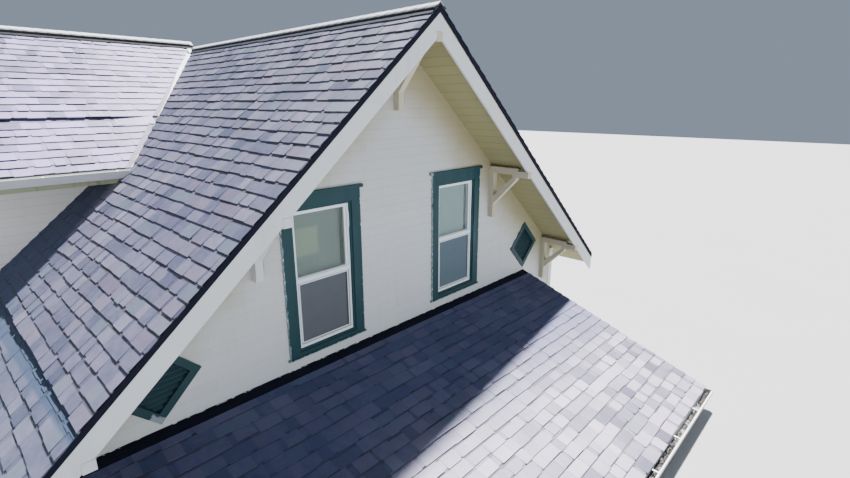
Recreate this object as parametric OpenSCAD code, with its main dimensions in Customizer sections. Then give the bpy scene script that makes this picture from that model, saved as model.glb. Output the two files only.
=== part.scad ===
// Gabled dormer storey with two tall windows, bracketed eaves, a lower lean-to roof in front
// and the side roof that runs into it at a valley. It is cut off level below the lowest eave.
// Millimetres. X runs across the gable, Y runs into the house, Z is up from the level base.
// The origin is on the base, under the middle of the gable wall.

/* [Gable] */
// Distance from the gable's centre line to the outer corner of its wall
wall_half = 3800; // [3740:10:3860]
// Thickness of the outer walls
wall_t = 140; // [130:5:150]
// Height of the barge boards' top edge at the ridge, above the base
ridge_z = 4780; // [4740:10:4820]
// Rise of the main roof for each unit of its run
pitch = 0.856; // [0.85:0.002:0.862]
// Distance from the gable wall's face to the barge boards' face
gable_out = 645; // [620:5:670]
// Distance from the centre line to the cut end of the barge boards
eave_x = 4045; // [4020:5:4070]
// Height of a barge board, measured plumb
barge_h = 210; // [200:5:225]
// Thickness of a barge board
barge_t = 32; // [25:1:38]

/* [Roof build-up] */
// Height of the roof boards' top above the barge boards' top edge, measured plumb
deck_up = 66; // [55:1:75]
// Depth of the rafters and boards below the barge boards' top edge, measured plumb
deck_down = 79; // [70:1:90]
// Depth of the soffit boards under the gable's overhang, measured plumb
soffit_h = 22; // [15:1:25]
// Height of the main ridge cap's top above the roof boards' ridge
cap_h = 36; // [30:1:45]
// Height of the side roof's ridge cap above its boards' ridge
side_cap_h = 61; // [56:1:66]
// Fall of a ridge cap's cover from the ridge to its edge
cap_fall = 58; // [50:1:62]
// Reach of a ridge cap on each side of the ridge
cap_reach = 75; // [65:1:90]

/* [Low strip of the left slope] */
// Distance from the centre line to the step where the low strip begins
step_x = 3440; // [3420:5:3460]
// Drop of the strip below the main slope at the barge board
step_front = 6; // [4:1:8]
// Further drop of the strip by the time it reaches the side roof's wall
step_more = 54; // [40:2:60]

/* [Side roof] */
// Distance from the origin back to the point where the main ridge meets the side roof
valley_top_y = 5086; // [5070:2:5100]
// Distance from the origin back to the side roof's ridge, which is a little above the main one
side_ridge_y = 5182; // [5160:2:5200]
// Distance from the origin back to the side roof's eave
side_eave_y = 2590; // [2580:5:2600]
// Height of the side roof's boards at that eave
side_eave_z = 3160; // [3150:1:3170]
// Distance from the origin back to the face of the wall under that eave
side_wall_y = 3340; // [3320:5:3360]
// Distance from the origin back to the line where the side roof's courses stand out
side_break_y = 3470; // [3440:5:3500]
// Depth of the side roof's flatter foot below its upper part at that line
side_break_drop = 28; // [15:1:35]
// Depth of the side roof's fascia board
side_fascia_h = 160; // [150:2:170]

/* [Lower roof] */
// Height of the lower roof's boards where they meet the gable wall
lower_z = 1235; // [1230:1:1240]
// Fall of the lower roof for each unit of its run
lower_pitch = 0.336; // [0.33:0.002:0.34]
// Run of the lower roof's boards, out from the gable wall's face
lower_run = 2872; // [2860:4:2880]
// Distance from the centre line to the lower roof's right edge
lower_right = 2868; // [2850:2:2880]
// Distance from the centre line to the lower roof's left edge
lower_left = 3700; // [3680:5:3720]
// Thickness of the lower roof, measured plumb
lower_t = 110; // [100:5:120]
// Distance from the lower roof's side edges to the walls under it
lower_side_out = 200; // [180:5:220]
// Distance from the lower roof's eave to the wall under it
lower_eave_out = 382; // [360:2:400]

/* [Gutters] */
// Width of a gutter across its top
gutter_w = 100; // [95:1:105]
// Height of a gutter
gutter_h = 92; // [86:2:100]
// Thickness of the gutters' sheet
gutter_t = 4; // [3:0.5:5]

/* [Windows] */
// Distance from the centre line to the middle of each window
window_x = 1071; // [1060:1:1080]
// Width of the white window frames
window_w = 700; // [690:2:706]
// Height of the white window frames
window_h = 1457; // [1440:1:1460]
// Height of the window frames' lower edge above the base
sill_z = 1450; // [1440:2:1460]
// Height of the middle of the meeting rail above the frame's lower edge
rail_z = 735; // [700:5:780]
// Width of the coloured casing boards
casing_w = 120; // [110:2:130]
// Gap between the casing boards and the white frame
casing_gap = 22; // [18:1:26]
// Height of the casing board over a window
head_h = 160; // [140:2:180]

/* [Vents] */
// Distance from the centre line to the middle of each diamond vent
vent_x = 2815; // [2800:1:2825]
// Height of the vents' middle above the base
vent_z = 1685; // [1682:1:1700]
// Length of each outer side of a vent's frame
vent_side = 548; // [530:2:550]
// Width of the vent frames' boards
vent_board = 58; // [50:1:66]

/* [Brackets] */
// Width of the bracket timbers
timber = 88; // [80:1:92]
// Distance from the centre line to the brackets halfway down the slopes
mid_bracket_x = 1838; // [1820:2:1850]
// Distance from the centre line to the brackets near the eaves
eave_bracket_x = 3430; // [3410:2:3450]
// Length of a bracket's upright on the wall
bracket_post = 735; // [700:5:760]
// Length of the upright of the bracket under the ridge
ridge_post = 795; // [780:5:810]
// Height of the struts' foot above the uprights' foot, over and above their joint
strut_lift = 110; // [80:5:140]
// Length of the upright of the bracket that stands over the lower roof
short_post = 400; // [380:5:405]

/* [Floor] */
// Height of the floor's upper face above the base
floor_z = 750; // [700:10:800]
// Thickness of the floor
floor_t = 200; // [180:5:240]

/* [Hidden] */
wall_face = -wall_t / 2;
wall_back = wall_t / 2;
barge_face = wall_face - gable_out;
barge_back = barge_face + barge_t;
deck_face = barge_face - 5;
rake_metal = 5;
fascia_t = 20;
deck_x = eave_x - fascia_t;
side_pitch = (ridge_z + deck_up - side_eave_z) / (valley_top_y - side_eave_y);
side_rise = side_pitch * (side_ridge_y - valley_top_y);
back_face = side_ridge_y + wall_t;
back_edge = back_face;
side_deck_h = deck_up + deck_down - 25;
valley_x = (ridge_z + deck_up - side_eave_z) / pitch;
side_end_x = wall_half;
lower_eave_y = wall_face - lower_run;
lower_wall_y = lower_eave_y + lower_eave_out;
soffit_z = ridge_z - deck_down - soffit_h;
valley_wide = 150;
valley_narrow = 60;
valley_t = 5;
frame_front = wall_face + 8;
frame_depth = 80;
frame_face = 26;
frame_foot = 34;
rail_h = 45;
sash_face = 28;
pane_t = 5;
slip = 1;

wall_paint = "#c4c9c8";
white_paint = "#e9ecec";
soffit_paint = "#d9d8c6";
teal_paint = "#1f5560";
shingle_grey = "#8d8f9e";
metal_grey = "#c9ccd2";
dark_metal = "#1d222c";
board_brown = "#a98c66";
glass_grey = "#7d8c8c";

// Height of the barge boards' top edge at a distance x from the centre line
function rake_z(x) = ridge_z - pitch * x;
// Height of the main slopes' boards at a distance x from the centre line
function deck_z(x) = rake_z(x) + deck_up;
// Height of the side roof's boards at a distance y from the origin
function side_z(y) = ridge_z + deck_up + side_rise - side_pitch * abs(side_ridge_y - y);
// Fall of the side roof's flatter foot for each unit of its run
function side_foot_pitch() =
    (side_z(side_break_y) - side_break_drop - side_eave_z) / (side_break_y - side_eave_y);
// Height of the side roof's flatter foot at a distance y from the origin
function side_foot_z(y) = side_eave_z + side_foot_pitch() * (y - side_eave_y);
// Height of the lower roof's boards at a distance y from the origin
function lower_deck_z(y) = lower_z - lower_pitch * (wall_face - y);
// Height of the casings' upper edge
function casing_top() = sill_z + window_h + casing_gap + head_h;

// A profile drawn in X and Z, drawn out along Y
module along_y(y0, y1) {
    translate([0, y1, 0]) rotate([90, 0, 0]) linear_extrude(y1 - y0) children();
}

// A profile drawn in Y and Z, drawn out along X
module along_x(x0, x1) {
    translate([x0, 0, 0]) rotate([90, 0, 90]) linear_extrude(x1 - x0) children();
}

// A block between two corners
module block(low, high) {
    translate(low) cube(high - low);
}

// A band that follows the right slope from x0 to x1
module slope_band(x0, x1, up, down) {
    polygon([
        [x0, rake_z(x0) + up],
        [x1, rake_z(x1) + up],
        [x1, rake_z(x1) - down],
        [x0, rake_z(x0) - down]
    ]);
}

// A band that follows both slopes, out to x1 on each side
module chevron(x1, up, down) {
    polygon([
        [-x1, rake_z(x1) + up],
        [0, rake_z(0) + up],
        [x1, rake_z(x1) + up],
        [x1, rake_z(x1) - down],
        [0, rake_z(0) - down],
        [-x1, rake_z(x1) - down]
    ]);
}

// Roof boards and rafters of a main slope, which reach over the barge board
module main_slab(x0, x1, y1, gap = 0) {
    along_y(barge_back, y1) slope_band(x0, x1, deck_up, deck_down);
    along_y(deck_face, barge_back) slope_band(x0, x1, deck_up, -gap);
}

// Everything between the left slope's boards and far below them
module below_left_slope(up) {
    mirror([1, 0, 0]) along_y(barge_face, back_edge)
        polygon([[0, deck_z(0) + up], [eave_x, deck_z(eave_x) + up], [eave_x, 0], [0, 0]]);
}

// Everything between the side roof's boards and far below them, from its end to x
module below_side_roof(up, x = 0) {
    along_x(-side_end_x, x)
        polygon([
            [side_eave_y - 50, 0],
            [side_ridge_y, 0],
            [side_ridge_y, side_z(side_ridge_y) + up],
            [side_break_y - up, side_z(side_break_y - up) + up],
            [side_break_y - up, side_foot_z(side_break_y - up) + up],
            [side_eave_y - 50, side_foot_z(side_eave_y - 50) + up]
        ]);
}

// The low strip of the left slope, which falls away a little towards the back
module low_strip() {
    run = side_wall_y - deck_face;
    intersection() {
        translate([0, deck_face, ridge_z - step_front])
            rotate([-atan(step_more / run), 0, 0])
                translate([0, -deck_face, -ridge_z])
                    mirror([1, 0, 0])
                        along_y(deck_face - 200, side_wall_y + 200)
                            slope_band(step_x - 100, deck_x + 100, deck_up, deck_down);
        union() {
            block([-deck_x, barge_back, 0], [-step_x, side_wall_y, ridge_z]);
            mirror([1, 0, 0]) along_y(deck_face, barge_back)
                slope_band(step_x, deck_x, 2 * deck_up, 0);
        }
    }
}

// The side roof's slab, cut off at the valley
module side_slab() {
    intersection() {
        along_x(-side_end_x, 0)
            polygon([
                [side_eave_y, side_foot_z(side_eave_y)],
                [side_break_y, side_foot_z(side_break_y)],
                [side_break_y, side_z(side_break_y)],
                [side_ridge_y, side_z(side_ridge_y)],
                [back_edge, side_z(back_edge)],
                [back_edge, side_z(back_edge) - side_deck_h],
                [side_ridge_y, side_z(side_ridge_y) - side_deck_h],
                [side_eave_y, side_z(side_eave_y) - side_deck_h]
            ]);
        linear_extrude(ridge_z + 200)
            polygon([
                [-side_end_x, side_eave_y],
                [-valley_x, side_eave_y],
                [0, valley_top_y],
                [0, back_edge],
                [-side_end_x, back_edge]
            ]);
    }
}

// The diamond hole or board of a vent, by the length of its side
module diamond(side, y0, y1) {
    translate([0, 0, vent_z]) along_y(y0, y1) rotate(45) square(side, center = true);
}

module gable_wall() {
    opening_half = window_w / 2 + casing_gap;
    under = deck_down;
    color(wall_paint) difference() {
        along_y(wall_face, wall_back)
            polygon([
                [-wall_half, 0],
                [wall_half, 0],
                [wall_half, rake_z(wall_half) - under],
                [0, rake_z(0) - under],
                [-wall_half, rake_z(wall_half) - under]
            ]);
        low_strip();
        for (side = [-1, 1]) {
            block(
                [side * window_x - opening_half, wall_face - 1, sill_z - casing_gap],
                [side * window_x + opening_half, wall_back + 1, sill_z + window_h + casing_gap]
            );
            translate([side * vent_x, 0, 0])
                diamond(vent_side - 2 * vent_board, wall_face - 1, wall_back + 1);
        }
    }
}

// A wall under an eave, whose top follows the slope
module eave_wall_profile() {
    inner = wall_half - wall_t;
    polygon([
        [inner, 0],
        [wall_half, 0],
        [wall_half, rake_z(wall_half) - deck_down],
        [inner, rake_z(inner) - deck_down]
    ]);
}

module left_wall() {
    color(wall_paint) difference() {
        mirror([1, 0, 0]) along_y(wall_back, side_wall_y) eave_wall_profile();
        low_strip();
    }
}

module right_wall() {
    color(wall_paint) along_y(wall_back, side_ridge_y) eave_wall_profile();
}

module back_wall() {
    flat_z = side_z(back_face) - side_deck_h;
    color(wall_paint) along_y(side_ridge_y, back_face)
        polygon([
            [-wall_half, 0],
            [wall_half, 0],
            [wall_half, rake_z(wall_half) - deck_down],
            [0, rake_z(0) - deck_down],
            [0, flat_z],
            [-wall_half, flat_z]
        ]);
}

module side_roof_front_wall() {
    top_z = side_z(side_wall_y) - side_deck_h;
    inner = wall_half - wall_t;
    foot_z = floor_z + 750;
    color(wall_paint) along_y(side_wall_y, side_wall_y + wall_t)
        polygon([
            [-inner, foot_z],
            [-step_x, foot_z],
            [-step_x, deck_z(step_x)],
            [-(deck_z(0) - top_z) / pitch, top_z],
            [-inner, top_z]
        ]);
}

module side_roof_end_wall() {
    color(wall_paint) along_x(-wall_half, -wall_half + wall_t)
        polygon([
            [side_wall_y, 0],
            [side_ridge_y, 0],
            [side_ridge_y, side_z(side_ridge_y) - side_deck_h],
            [side_wall_y, side_z(side_wall_y) - side_deck_h]
        ]);
}

module attic_floor() {
    inner = wall_half - wall_t;
    color(board_brown)
        block([-inner, wall_back, floor_z - floor_t], [inner, side_ridge_y, floor_z]);
}

module roof_left() {
    under_wall = side_wall_y + wall_t;
    color(shingle_grey) difference() {
        intersection() {
            mirror([1, 0, 0]) main_slab(0, step_x, valley_top_y);
            linear_extrude(ridge_z + 200)
                polygon([
                    [0, deck_face],
                    [-step_x, deck_face],
                    [-step_x, under_wall],
                    [-(valley_top_y - under_wall) * valley_x / (valley_top_y - side_eave_y), under_wall],
                    [0, valley_top_y]
                ]);
        }
        side_slab();
    }
}

module roof_right() {
    color(shingle_grey) main_slab(0, deck_x, back_edge);
}

module roof_left_low_strip() {
    color(shingle_grey) low_strip();
}

module side_roof() {
    color(shingle_grey) side_slab();
}

module ridge_cap() {
    color(shingle_grey) difference() {
        along_y(deck_face, side_ridge_y - cap_reach)
            polygon([
                [0, deck_z(0)],
                [cap_reach, deck_z(cap_reach)],
                [cap_reach, deck_z(0) + cap_h - cap_fall],
                [0, deck_z(0) + cap_h],
                [-cap_reach, deck_z(0) + cap_h - cap_fall],
                [-cap_reach, deck_z(cap_reach)]
            ]);
        below_side_roof(0, cap_reach + 1);
    }
}

module side_ridge_cap() {
    top_z = side_z(side_ridge_y) + side_cap_h;
    foot_z = side_z(side_ridge_y + cap_reach);
    color(shingle_grey) along_x(-side_end_x, 0)
        polygon([
            [side_ridge_y - cap_reach, foot_z],
            [side_ridge_y, side_z(side_ridge_y)],
            [side_ridge_y + cap_reach, foot_z],
            [side_ridge_y + cap_reach, top_z - cap_fall],
            [side_ridge_y, top_z],
            [side_ridge_y - cap_reach, top_z - cap_fall]
        ]);
}

module valley_flashing() {
    run = valley_top_y - side_eave_y;
    stop = 1.6 * cap_reach;
    top_y = valley_top_y - stop * run / valley_x;
    color(metal_grey) intersection() {
        difference() {
            union() {
                below_left_slope(valley_t);
                below_side_roof(valley_t);
            }
            below_left_slope(0);
            below_side_roof(0);
        }
        linear_extrude(2 * ridge_z)
            polygon([
                [-valley_x + valley_narrow, side_eave_y],
                [-stop + valley_narrow, top_y],
                [-stop - valley_wide, top_y],
                [-valley_x - valley_wide, side_eave_y]
            ]);
    }
}

module side_roof_fascia() {
    top = side_z(side_eave_y) - 8;
    color(white_paint) difference() {
        block([-side_end_x, side_eave_y - fascia_t, top - side_fascia_h], [0, side_eave_y, top]);
        below_left_slope(0);
        block([-valley_x, 0, 0], [1, side_ridge_y, 2 * ridge_z]);
    }
}

// The outline of a gutter's closed end
module gutter_end() {
    polygon([
        [0, 0],
        [0, gutter_h],
        [-gutter_w, gutter_h],
        [-gutter_w, gutter_h * 0.55 - 1],
        [-gutter_w * 0.72 - 1, 0]
    ]);
}

// An open gutter's section, with its back against y = 0 and its bottom on z = 0
module gutter_section() {
    polygon([
        [0, 0],
        [0, gutter_h],
        [-gutter_t, gutter_h],
        [-gutter_t, gutter_t],
        [-gutter_w * 0.72, gutter_t],
        [-gutter_w + gutter_t, gutter_h * 0.55],
        [-gutter_w + gutter_t, gutter_h],
        [-gutter_w, gutter_h],
        [-gutter_w, gutter_h * 0.55 - 1],
        [-gutter_w * 0.72 - 1, 0]
    ]);
}

// A gutter with closed ends
module gutter(x0, x1) {
    union() {
        along_x(x0, x1) gutter_section();
        for (x = [x0, x1 - gutter_t]) along_x(x, x + gutter_t) gutter_end();
    }
}

module side_roof_gutter() {
    top = side_z(side_eave_y) - 14;
    back = side_eave_y - fascia_t;
    color(white_paint) difference() {
        translate([0, back, top - gutter_h]) gutter(-side_end_x, 0);
        below_left_slope(6);
        block([-valley_x, 0, 0], [1, side_ridge_y, 2 * ridge_z]);
    }
}

module lower_roof() {
    color(shingle_grey) along_x(-lower_left, lower_right)
        polygon([
            [wall_face, lower_deck_z(wall_face)],
            [lower_eave_y, lower_deck_z(lower_eave_y)],
            [lower_eave_y, lower_deck_z(lower_eave_y) - lower_t],
            [wall_face, lower_deck_z(wall_face) - lower_t]
        ]);
}

module lower_front_wall() {
    inner = lower_wall_y + wall_t;
    color(wall_paint) along_x(-lower_left + lower_side_out, lower_right - lower_side_out)
        polygon([
            [lower_wall_y, 0],
            [inner, 0],
            [inner, lower_deck_z(inner) - lower_t],
            [lower_wall_y, lower_deck_z(lower_wall_y) - lower_t]
        ]);
}

// A wall under one end of the lower roof, from x to x + wall_t
module lower_end_wall(x) {
    inner = lower_wall_y + wall_t;
    color(wall_paint) along_x(x, x + wall_t)
        polygon([
            [inner, 0],
            [wall_face, 0],
            [wall_face, lower_deck_z(wall_face) - lower_t],
            [inner, lower_deck_z(inner) - lower_t]
        ]);
}

module lower_roof_fascia() {
    top = lower_deck_z(lower_eave_y) - 2;
    color(white_paint)
        block(
            [-lower_left, lower_eave_y - fascia_t, top - 135],
            [lower_right, lower_eave_y, top]
        );
}

module lower_roof_gutter() {
    top = lower_deck_z(lower_eave_y) - 14;
    back = lower_eave_y - fascia_t;
    color(white_paint) translate([0, back, top - gutter_h]) gutter(-lower_left, lower_right);
}

module wall_flashing() {
    up = 16;
    out = 110;
    sheet = 8;
    color(dark_metal) along_x(-lower_left, lower_right)
        polygon([
            [wall_face, lower_z],
            [wall_face, lower_z + up],
            [wall_face - sheet, lower_z + up],
            [wall_face - sheet, lower_z + sheet],
            [wall_face - out, lower_deck_z(wall_face - out) + sheet],
            [wall_face - out, lower_deck_z(wall_face - out)]
        ]);
}

// The end of a bracket's arm, which is let into the barge board from below
module bracket_toe(x, top) {
    block(
        [x - timber / 2, barge_face - 2, top - 1.4 * timber],
        [x + timber / 2, barge_face + 250, top - 0.4 * timber]
    );
}

// Height of the top of a bracket's arm at a distance x from the centre line
function arm_top(x) = soffit_z - pitch * (x + timber / 2) - slip;

module barge_board() {
    color(white_paint) difference() {
        along_y(barge_face, barge_back) slope_band(0, eave_x, 0, barge_h);
        for (x = [0, mid_bracket_x, eave_bracket_x]) bracket_toe(x, arm_top(x));
    }
}

module gable_soffit() {
    color(soffit_paint) difference() {
        along_y(barge_back, wall_face) chevron(deck_x, -deck_down, deck_down + soffit_h);
        low_strip();
    }
}

module rake_drip_edge() {
    color(dark_metal) along_y(deck_face - rake_metal, deck_face) chevron(eave_x, deck_up, -4);
}

// Board across the rafter ends of an eave on the right side
module eave_fascia(y1) {
    top = deck_z(deck_x) - step_front - step_more - 4;
    color(white_paint)
        block([deck_x, barge_back, top - 120], [eave_x, y1, top]);
}

// A knee brace: an upright on the wall, an arm under the soffit and a strut between them
module bracket(x, top, post, lift = strut_lift) {
    half = timber / 2;
    knee_y = wall_face - timber + 8;
    end_y = barge_face + 190;
    strut_h = 1.45 * timber;
    foot_z = top - post + 0.9 * timber + lift;
    color(white_paint) union() {
        block([x - half, wall_face - timber, top - post], [x + half, wall_face, top]);
        block([x - half, barge_face + 165, top - timber], [x + half, wall_face, top]);
        bracket_toe(x, top);
        along_x(x - half + 6, x + half - 6)
            polygon([
                [knee_y, foot_z],
                [knee_y, foot_z + strut_h],
                [end_y, top - 0.9 * timber],
                [end_y, top - 0.9 * timber - strut_h * 0.6]
            ]);
    }
}

module window_casing(x) {
    inner = window_w / 2 + casing_gap;
    outer = inner + casing_w;
    plate = 25;
    face = wall_face - plate;
    foot_z = sill_z - casing_gap - 66;
    head_z = sill_z + window_h + casing_gap;
    top = casing_top();
    color(teal_paint) union() {
        difference() {
            union() {
                block([x - outer, face, foot_z], [x + outer, wall_face, top]);
                block([x - outer - 40, face - 12, top - 32], [x + outer + 40, wall_face, top + 4]);
                block([x - outer - 20, face - 10, foot_z - 2], [x + outer + 20, wall_face, foot_z + 20]);
            }
            block([x - inner, face - 40, sill_z - casing_gap], [x + inner, wall_face + 1, head_z]);
        }
        difference() {
            block([x - inner, wall_face - 12, sill_z - casing_gap], [x + inner, frame_front + 30, head_z]);
            block(
                [x - window_w / 2, face - 40, sill_z],
                [x + window_w / 2, wall_back, sill_z + window_h]
            );
        }
    }
}

module window_frame(x) {
    half = window_w / 2;
    mid = sill_z + rail_z;
    color(white_paint) difference() {
        block([x - half, frame_front, sill_z], [x + half, frame_front + frame_depth, sill_z + window_h]);
        block(
            [x - half + frame_face, frame_front - 1, sill_z + frame_foot],
            [x + half - frame_face, frame_front + frame_depth + 1, mid - rail_h / 2]
        );
        block(
            [x - half + frame_face, frame_front - 1, mid + rail_h / 2],
            [x + half - frame_face, frame_front + frame_depth + 1, sill_z + window_h - frame_face]
        );
    }
}

module lower_sash(x) {
    half = window_w / 2 - frame_face;
    low = sill_z + frame_foot;
    high = sill_z + rail_z - rail_h / 2;
    front = frame_front + 20;
    color(white_paint) difference() {
        block([x - half, front, low], [x + half, front + 28, high]);
        block(
            [x - half + sash_face, front - 1, low + sash_face],
            [x + half - sash_face, front + 29, high - sash_face]
        );
    }
}

module window_glass(x) {
    half = window_w / 2 - frame_face;
    mid = sill_z + rail_z;
    low = sill_z + frame_foot + sash_face;
    upper_y = frame_front + 24;
    lower_y = frame_front + 32;
    color(glass_grey) {
        block(
            [x - half, upper_y, mid + rail_h / 2],
            [x + half, upper_y + pane_t, sill_z + window_h - frame_face]
        );
        block(
            [x - half + sash_face, lower_y, low],
            [x + half - sash_face, lower_y + pane_t, mid - rail_h / 2 - sash_face]
        );
    }
}

// Blinds hung against the frames, short of the right jamb
module window_blinds() {
    back = frame_front + frame_depth;
    bare = 75;
    color(soffit_paint) for (side = [-1, 1]) {
        x = side * window_x;
        block(
            [x - window_w / 2 + 5, back, sill_z + 12],
            [x + window_w / 2 - bare, back + 6, sill_z + window_h - 10]
        );
    }
}

module vent(x) {
    hole = vent_side - 2 * vent_board;
    color(teal_paint) translate([x, 0, 0]) union() {
        difference() {
            diamond(vent_side, wall_face - 22, wall_face);
            diamond(hole - 24, wall_face - 23, wall_face + 1);
        }
        difference() {
            diamond(hole, wall_face, wall_face + 60);
            diamond(hole - 24, wall_face - 1, wall_face + 42);
        }
    }
}

gable_wall();
left_wall();
right_wall();
back_wall();
side_roof_front_wall();
side_roof_end_wall();
attic_floor();
roof_left();
roof_right();
roof_left_low_strip();
side_roof();
ridge_cap();
side_ridge_cap();
valley_flashing();
side_roof_fascia();
side_roof_gutter();
lower_roof();
lower_front_wall();
lower_end_wall(-lower_left + lower_side_out);  // lower_left_wall
lower_end_wall(lower_right - lower_side_out - wall_t);  // lower_right_wall
lower_roof_fascia();
lower_roof_gutter();
wall_flashing();
mirror([1, 0, 0]) barge_board();  // barge_board_left
barge_board();  // barge_board_right
gable_soffit();
rake_drip_edge();
mirror([1, 0, 0]) eave_fascia(side_wall_y);  // eave_fascia_left
eave_fascia(back_edge);  // eave_fascia_right
bracket(0, arm_top(0), ridge_post);  // ridge_bracket
bracket(-mid_bracket_x, arm_top(mid_bracket_x), bracket_post);  // mid_bracket_left
bracket(mid_bracket_x, arm_top(mid_bracket_x), bracket_post);  // mid_bracket_right
bracket(-eave_bracket_x, arm_top(eave_bracket_x), short_post, 0);  // eave_bracket_left
bracket(eave_bracket_x, arm_top(eave_bracket_x), bracket_post);  // eave_bracket_right
window_casing(-window_x);  // window_casing_left
window_casing(window_x);  // window_casing_right
window_frame(-window_x);  // window_frame_left
window_frame(window_x);  // window_frame_right
lower_sash(-window_x);  // lower_sash_left
lower_sash(window_x);  // lower_sash_right
window_glass(-window_x);  // window_glass_left
window_glass(window_x);  // window_glass_right
window_blinds();
vent(-vent_x);  // vent_left
vent(vent_x);  // vent_right
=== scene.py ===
"""The gabled dormer storey: shingles, siding, windows, vents, brackets and gutters on its frame."""

import math
import random
from itertools import product

import bpy
from bpy.props import FloatProperty, FloatVectorProperty, IntProperty, PointerProperty
from bpy.types import Operator, Panel, PropertyGroup
from mathutils import Matrix, Vector


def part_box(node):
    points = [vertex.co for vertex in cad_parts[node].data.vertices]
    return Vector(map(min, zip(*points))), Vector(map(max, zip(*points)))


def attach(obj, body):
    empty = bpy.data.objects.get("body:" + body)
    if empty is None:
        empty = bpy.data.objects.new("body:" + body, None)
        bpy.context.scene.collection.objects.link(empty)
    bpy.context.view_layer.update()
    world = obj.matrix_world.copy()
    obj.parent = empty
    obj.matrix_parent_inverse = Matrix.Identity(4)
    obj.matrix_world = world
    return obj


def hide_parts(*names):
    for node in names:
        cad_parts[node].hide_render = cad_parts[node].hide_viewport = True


bl_info = {
    "name": "Gabled dormer storey",
    "version": (1, 0, 0),
    "blender": (4, 5, 0),
    "location": "3D View > Sidebar > Dormer",
    "description": "Dresses the frame of a gabled dormer storey and sets up its view",
    "category": "Object",
}

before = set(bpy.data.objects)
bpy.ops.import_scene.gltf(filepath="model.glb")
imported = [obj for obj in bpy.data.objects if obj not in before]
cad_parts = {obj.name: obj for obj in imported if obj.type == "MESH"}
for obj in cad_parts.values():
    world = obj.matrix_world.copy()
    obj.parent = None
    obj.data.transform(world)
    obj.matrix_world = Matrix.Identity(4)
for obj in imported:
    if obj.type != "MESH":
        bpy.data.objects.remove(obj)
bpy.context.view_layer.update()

# The main roof, read from the frame's boxes where they give a value
RIDGE_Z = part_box("barge_board_right")[1].z
EAVE_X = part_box("barge_board_right")[1].x
PITCH = 0.856
DECK_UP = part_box("roof_right")[1].z - RIDGE_Z
DECK_DOWN = 0.079
DECK_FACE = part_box("roof_right")[0].y
BACK_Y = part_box("roof_right")[1].y
STEP_X = 3.440
STRIP_DROP, STRIP_FALL = 0.006, 0.054

# Walls
WALL_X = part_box("gable_wall")[1].x
WALL_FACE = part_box("gable_wall")[0].y
SIDE_WALL_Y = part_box("side_roof_front_wall")[0].y

# The caps of both ridges, and the shortest cap worth laying at an end
CAP_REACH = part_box("ridge_cap")[1].x
CAP_FALL = 0.058
SHORT_CAP = 0.02

# The side roof, whose lower part is flatter up to a thick line across it
SIDE_EAVE = Vector((-WALL_X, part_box("side_roof")[0].y, 3.160))
SIDE_RIDGE_Y = 5.182
VALLEY_TOP_Y = 5.086
VALLEY_RUN = VALLEY_TOP_Y - SIDE_EAVE.y
SIDE_BREAK_Y = 3.470
SIDE_BREAK_DROP = 0.028
SIDE_PITCH = (RIDGE_Z + DECK_UP - SIDE_EAVE.z) / VALLEY_RUN
VALLEY_X = (RIDGE_Z + DECK_UP - SIDE_EAVE.z) / PITCH

# The lower roof, whose walls' siding ends under its boards
LOWER_LEFT = -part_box("lower_roof")[0].x
LOWER_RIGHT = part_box("lower_roof")[1].x
LOWER_EAVE_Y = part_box("lower_roof")[0].y
LOWER_PITCH = 0.336
LOWER_TOP_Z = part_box("lower_roof")[1].z
LOWER_THICK = 0.11

# The length of each slope for a metre across
SLOPE = math.hypot(1.0, PITCH)
SIDE_SLOPE = math.hypot(1.0, SIDE_PITCH)
LOWER_SLOPE = math.hypot(1.0, LOWER_PITCH)

# Windows and vents
WINDOW_X = 1.071
FRAME_LOW, FRAME_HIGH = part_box("window_frame_right")
CASING_LOW, CASING_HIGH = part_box("window_casing_right")
CASING_OUTER = 0.492
SASH_HALF = 0.324
RAIL_Z = FRAME_LOW.z + 0.735
VENT_X, VENT_Z = 2.815, 1.685
VENT_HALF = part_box("vent_right")[1].z - VENT_Z
VENT_HOLE = 0.288

# Courses: how far each runs on under the next, and the least height that sets its taper
LAP = 0.02
SHORT_COURSE = 0.12

# How dark each roof's gaps, painted shade lines and lower edges are, and how much its tabs differ
LEFT_MARKS = (0.85, 0.75, 1.0, 0.13, 0.6)
SIDE_MARKS = (0.35, 0.5, 1.0, 0.32, 0.2)
LOWER_MARKS = (0.6, 1.0, 1.0, 0.36, 0.2)

# The width of the boards under the overhangs, and the smallest part of an outline worth laying
BOARD_WIDTH = 0.105
SMALLEST_AREA = 2e-5


def rake_z(x):
    """Height of the barge boards' top edge at a distance x from the centre line."""
    return RIDGE_Z - PITCH * abs(x)


def deck_z(x):
    """Height of the main slopes' boards at a distance x from the centre line."""
    return rake_z(x) + DECK_UP


def side_z(y):
    """Height of the side roof's boards at a distance y from the origin."""
    top = RIDGE_Z + DECK_UP + SIDE_PITCH * (SIDE_RIDGE_Y - VALLEY_TOP_Y)
    return top - SIDE_PITCH * abs(SIDE_RIDGE_Y - y)


def lower_z(y):
    """Height of the lower roof's boards at a distance y from the origin."""
    return LOWER_TOP_Z - LOWER_PITCH * (WALL_FACE - y)


# Heights of the two caps above their boards' ridges
CAP_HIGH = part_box("ridge_cap")[1].z - RIDGE_Z - DECK_UP
SIDE_CAP_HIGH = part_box("side_ridge_cap")[1].z - side_z(SIDE_RIDGE_Y)


# Flat outlines


def pairs(outline):
    """Each corner of an outline with the next one."""
    return zip(outline, outline[1:] + outline[:1])


def keep_side(outline, a, b, c):
    """The part of a convex outline where a * u + b * v is at most c."""
    kept = []
    for here, there in pairs(outline):
        at_here = a * here[0] + b * here[1] - c
        at_there = a * there[0] + b * there[1] - c
        if at_here <= 0:
            kept.append(here)
        if at_here * at_there < 0:
            part = at_here / (at_here - at_there)
            kept.append(tuple(p + part * (q - p) for p, q in zip(here, there)))
    return kept if len(kept) > 2 and area(kept) > SMALLEST_AREA else []


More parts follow.
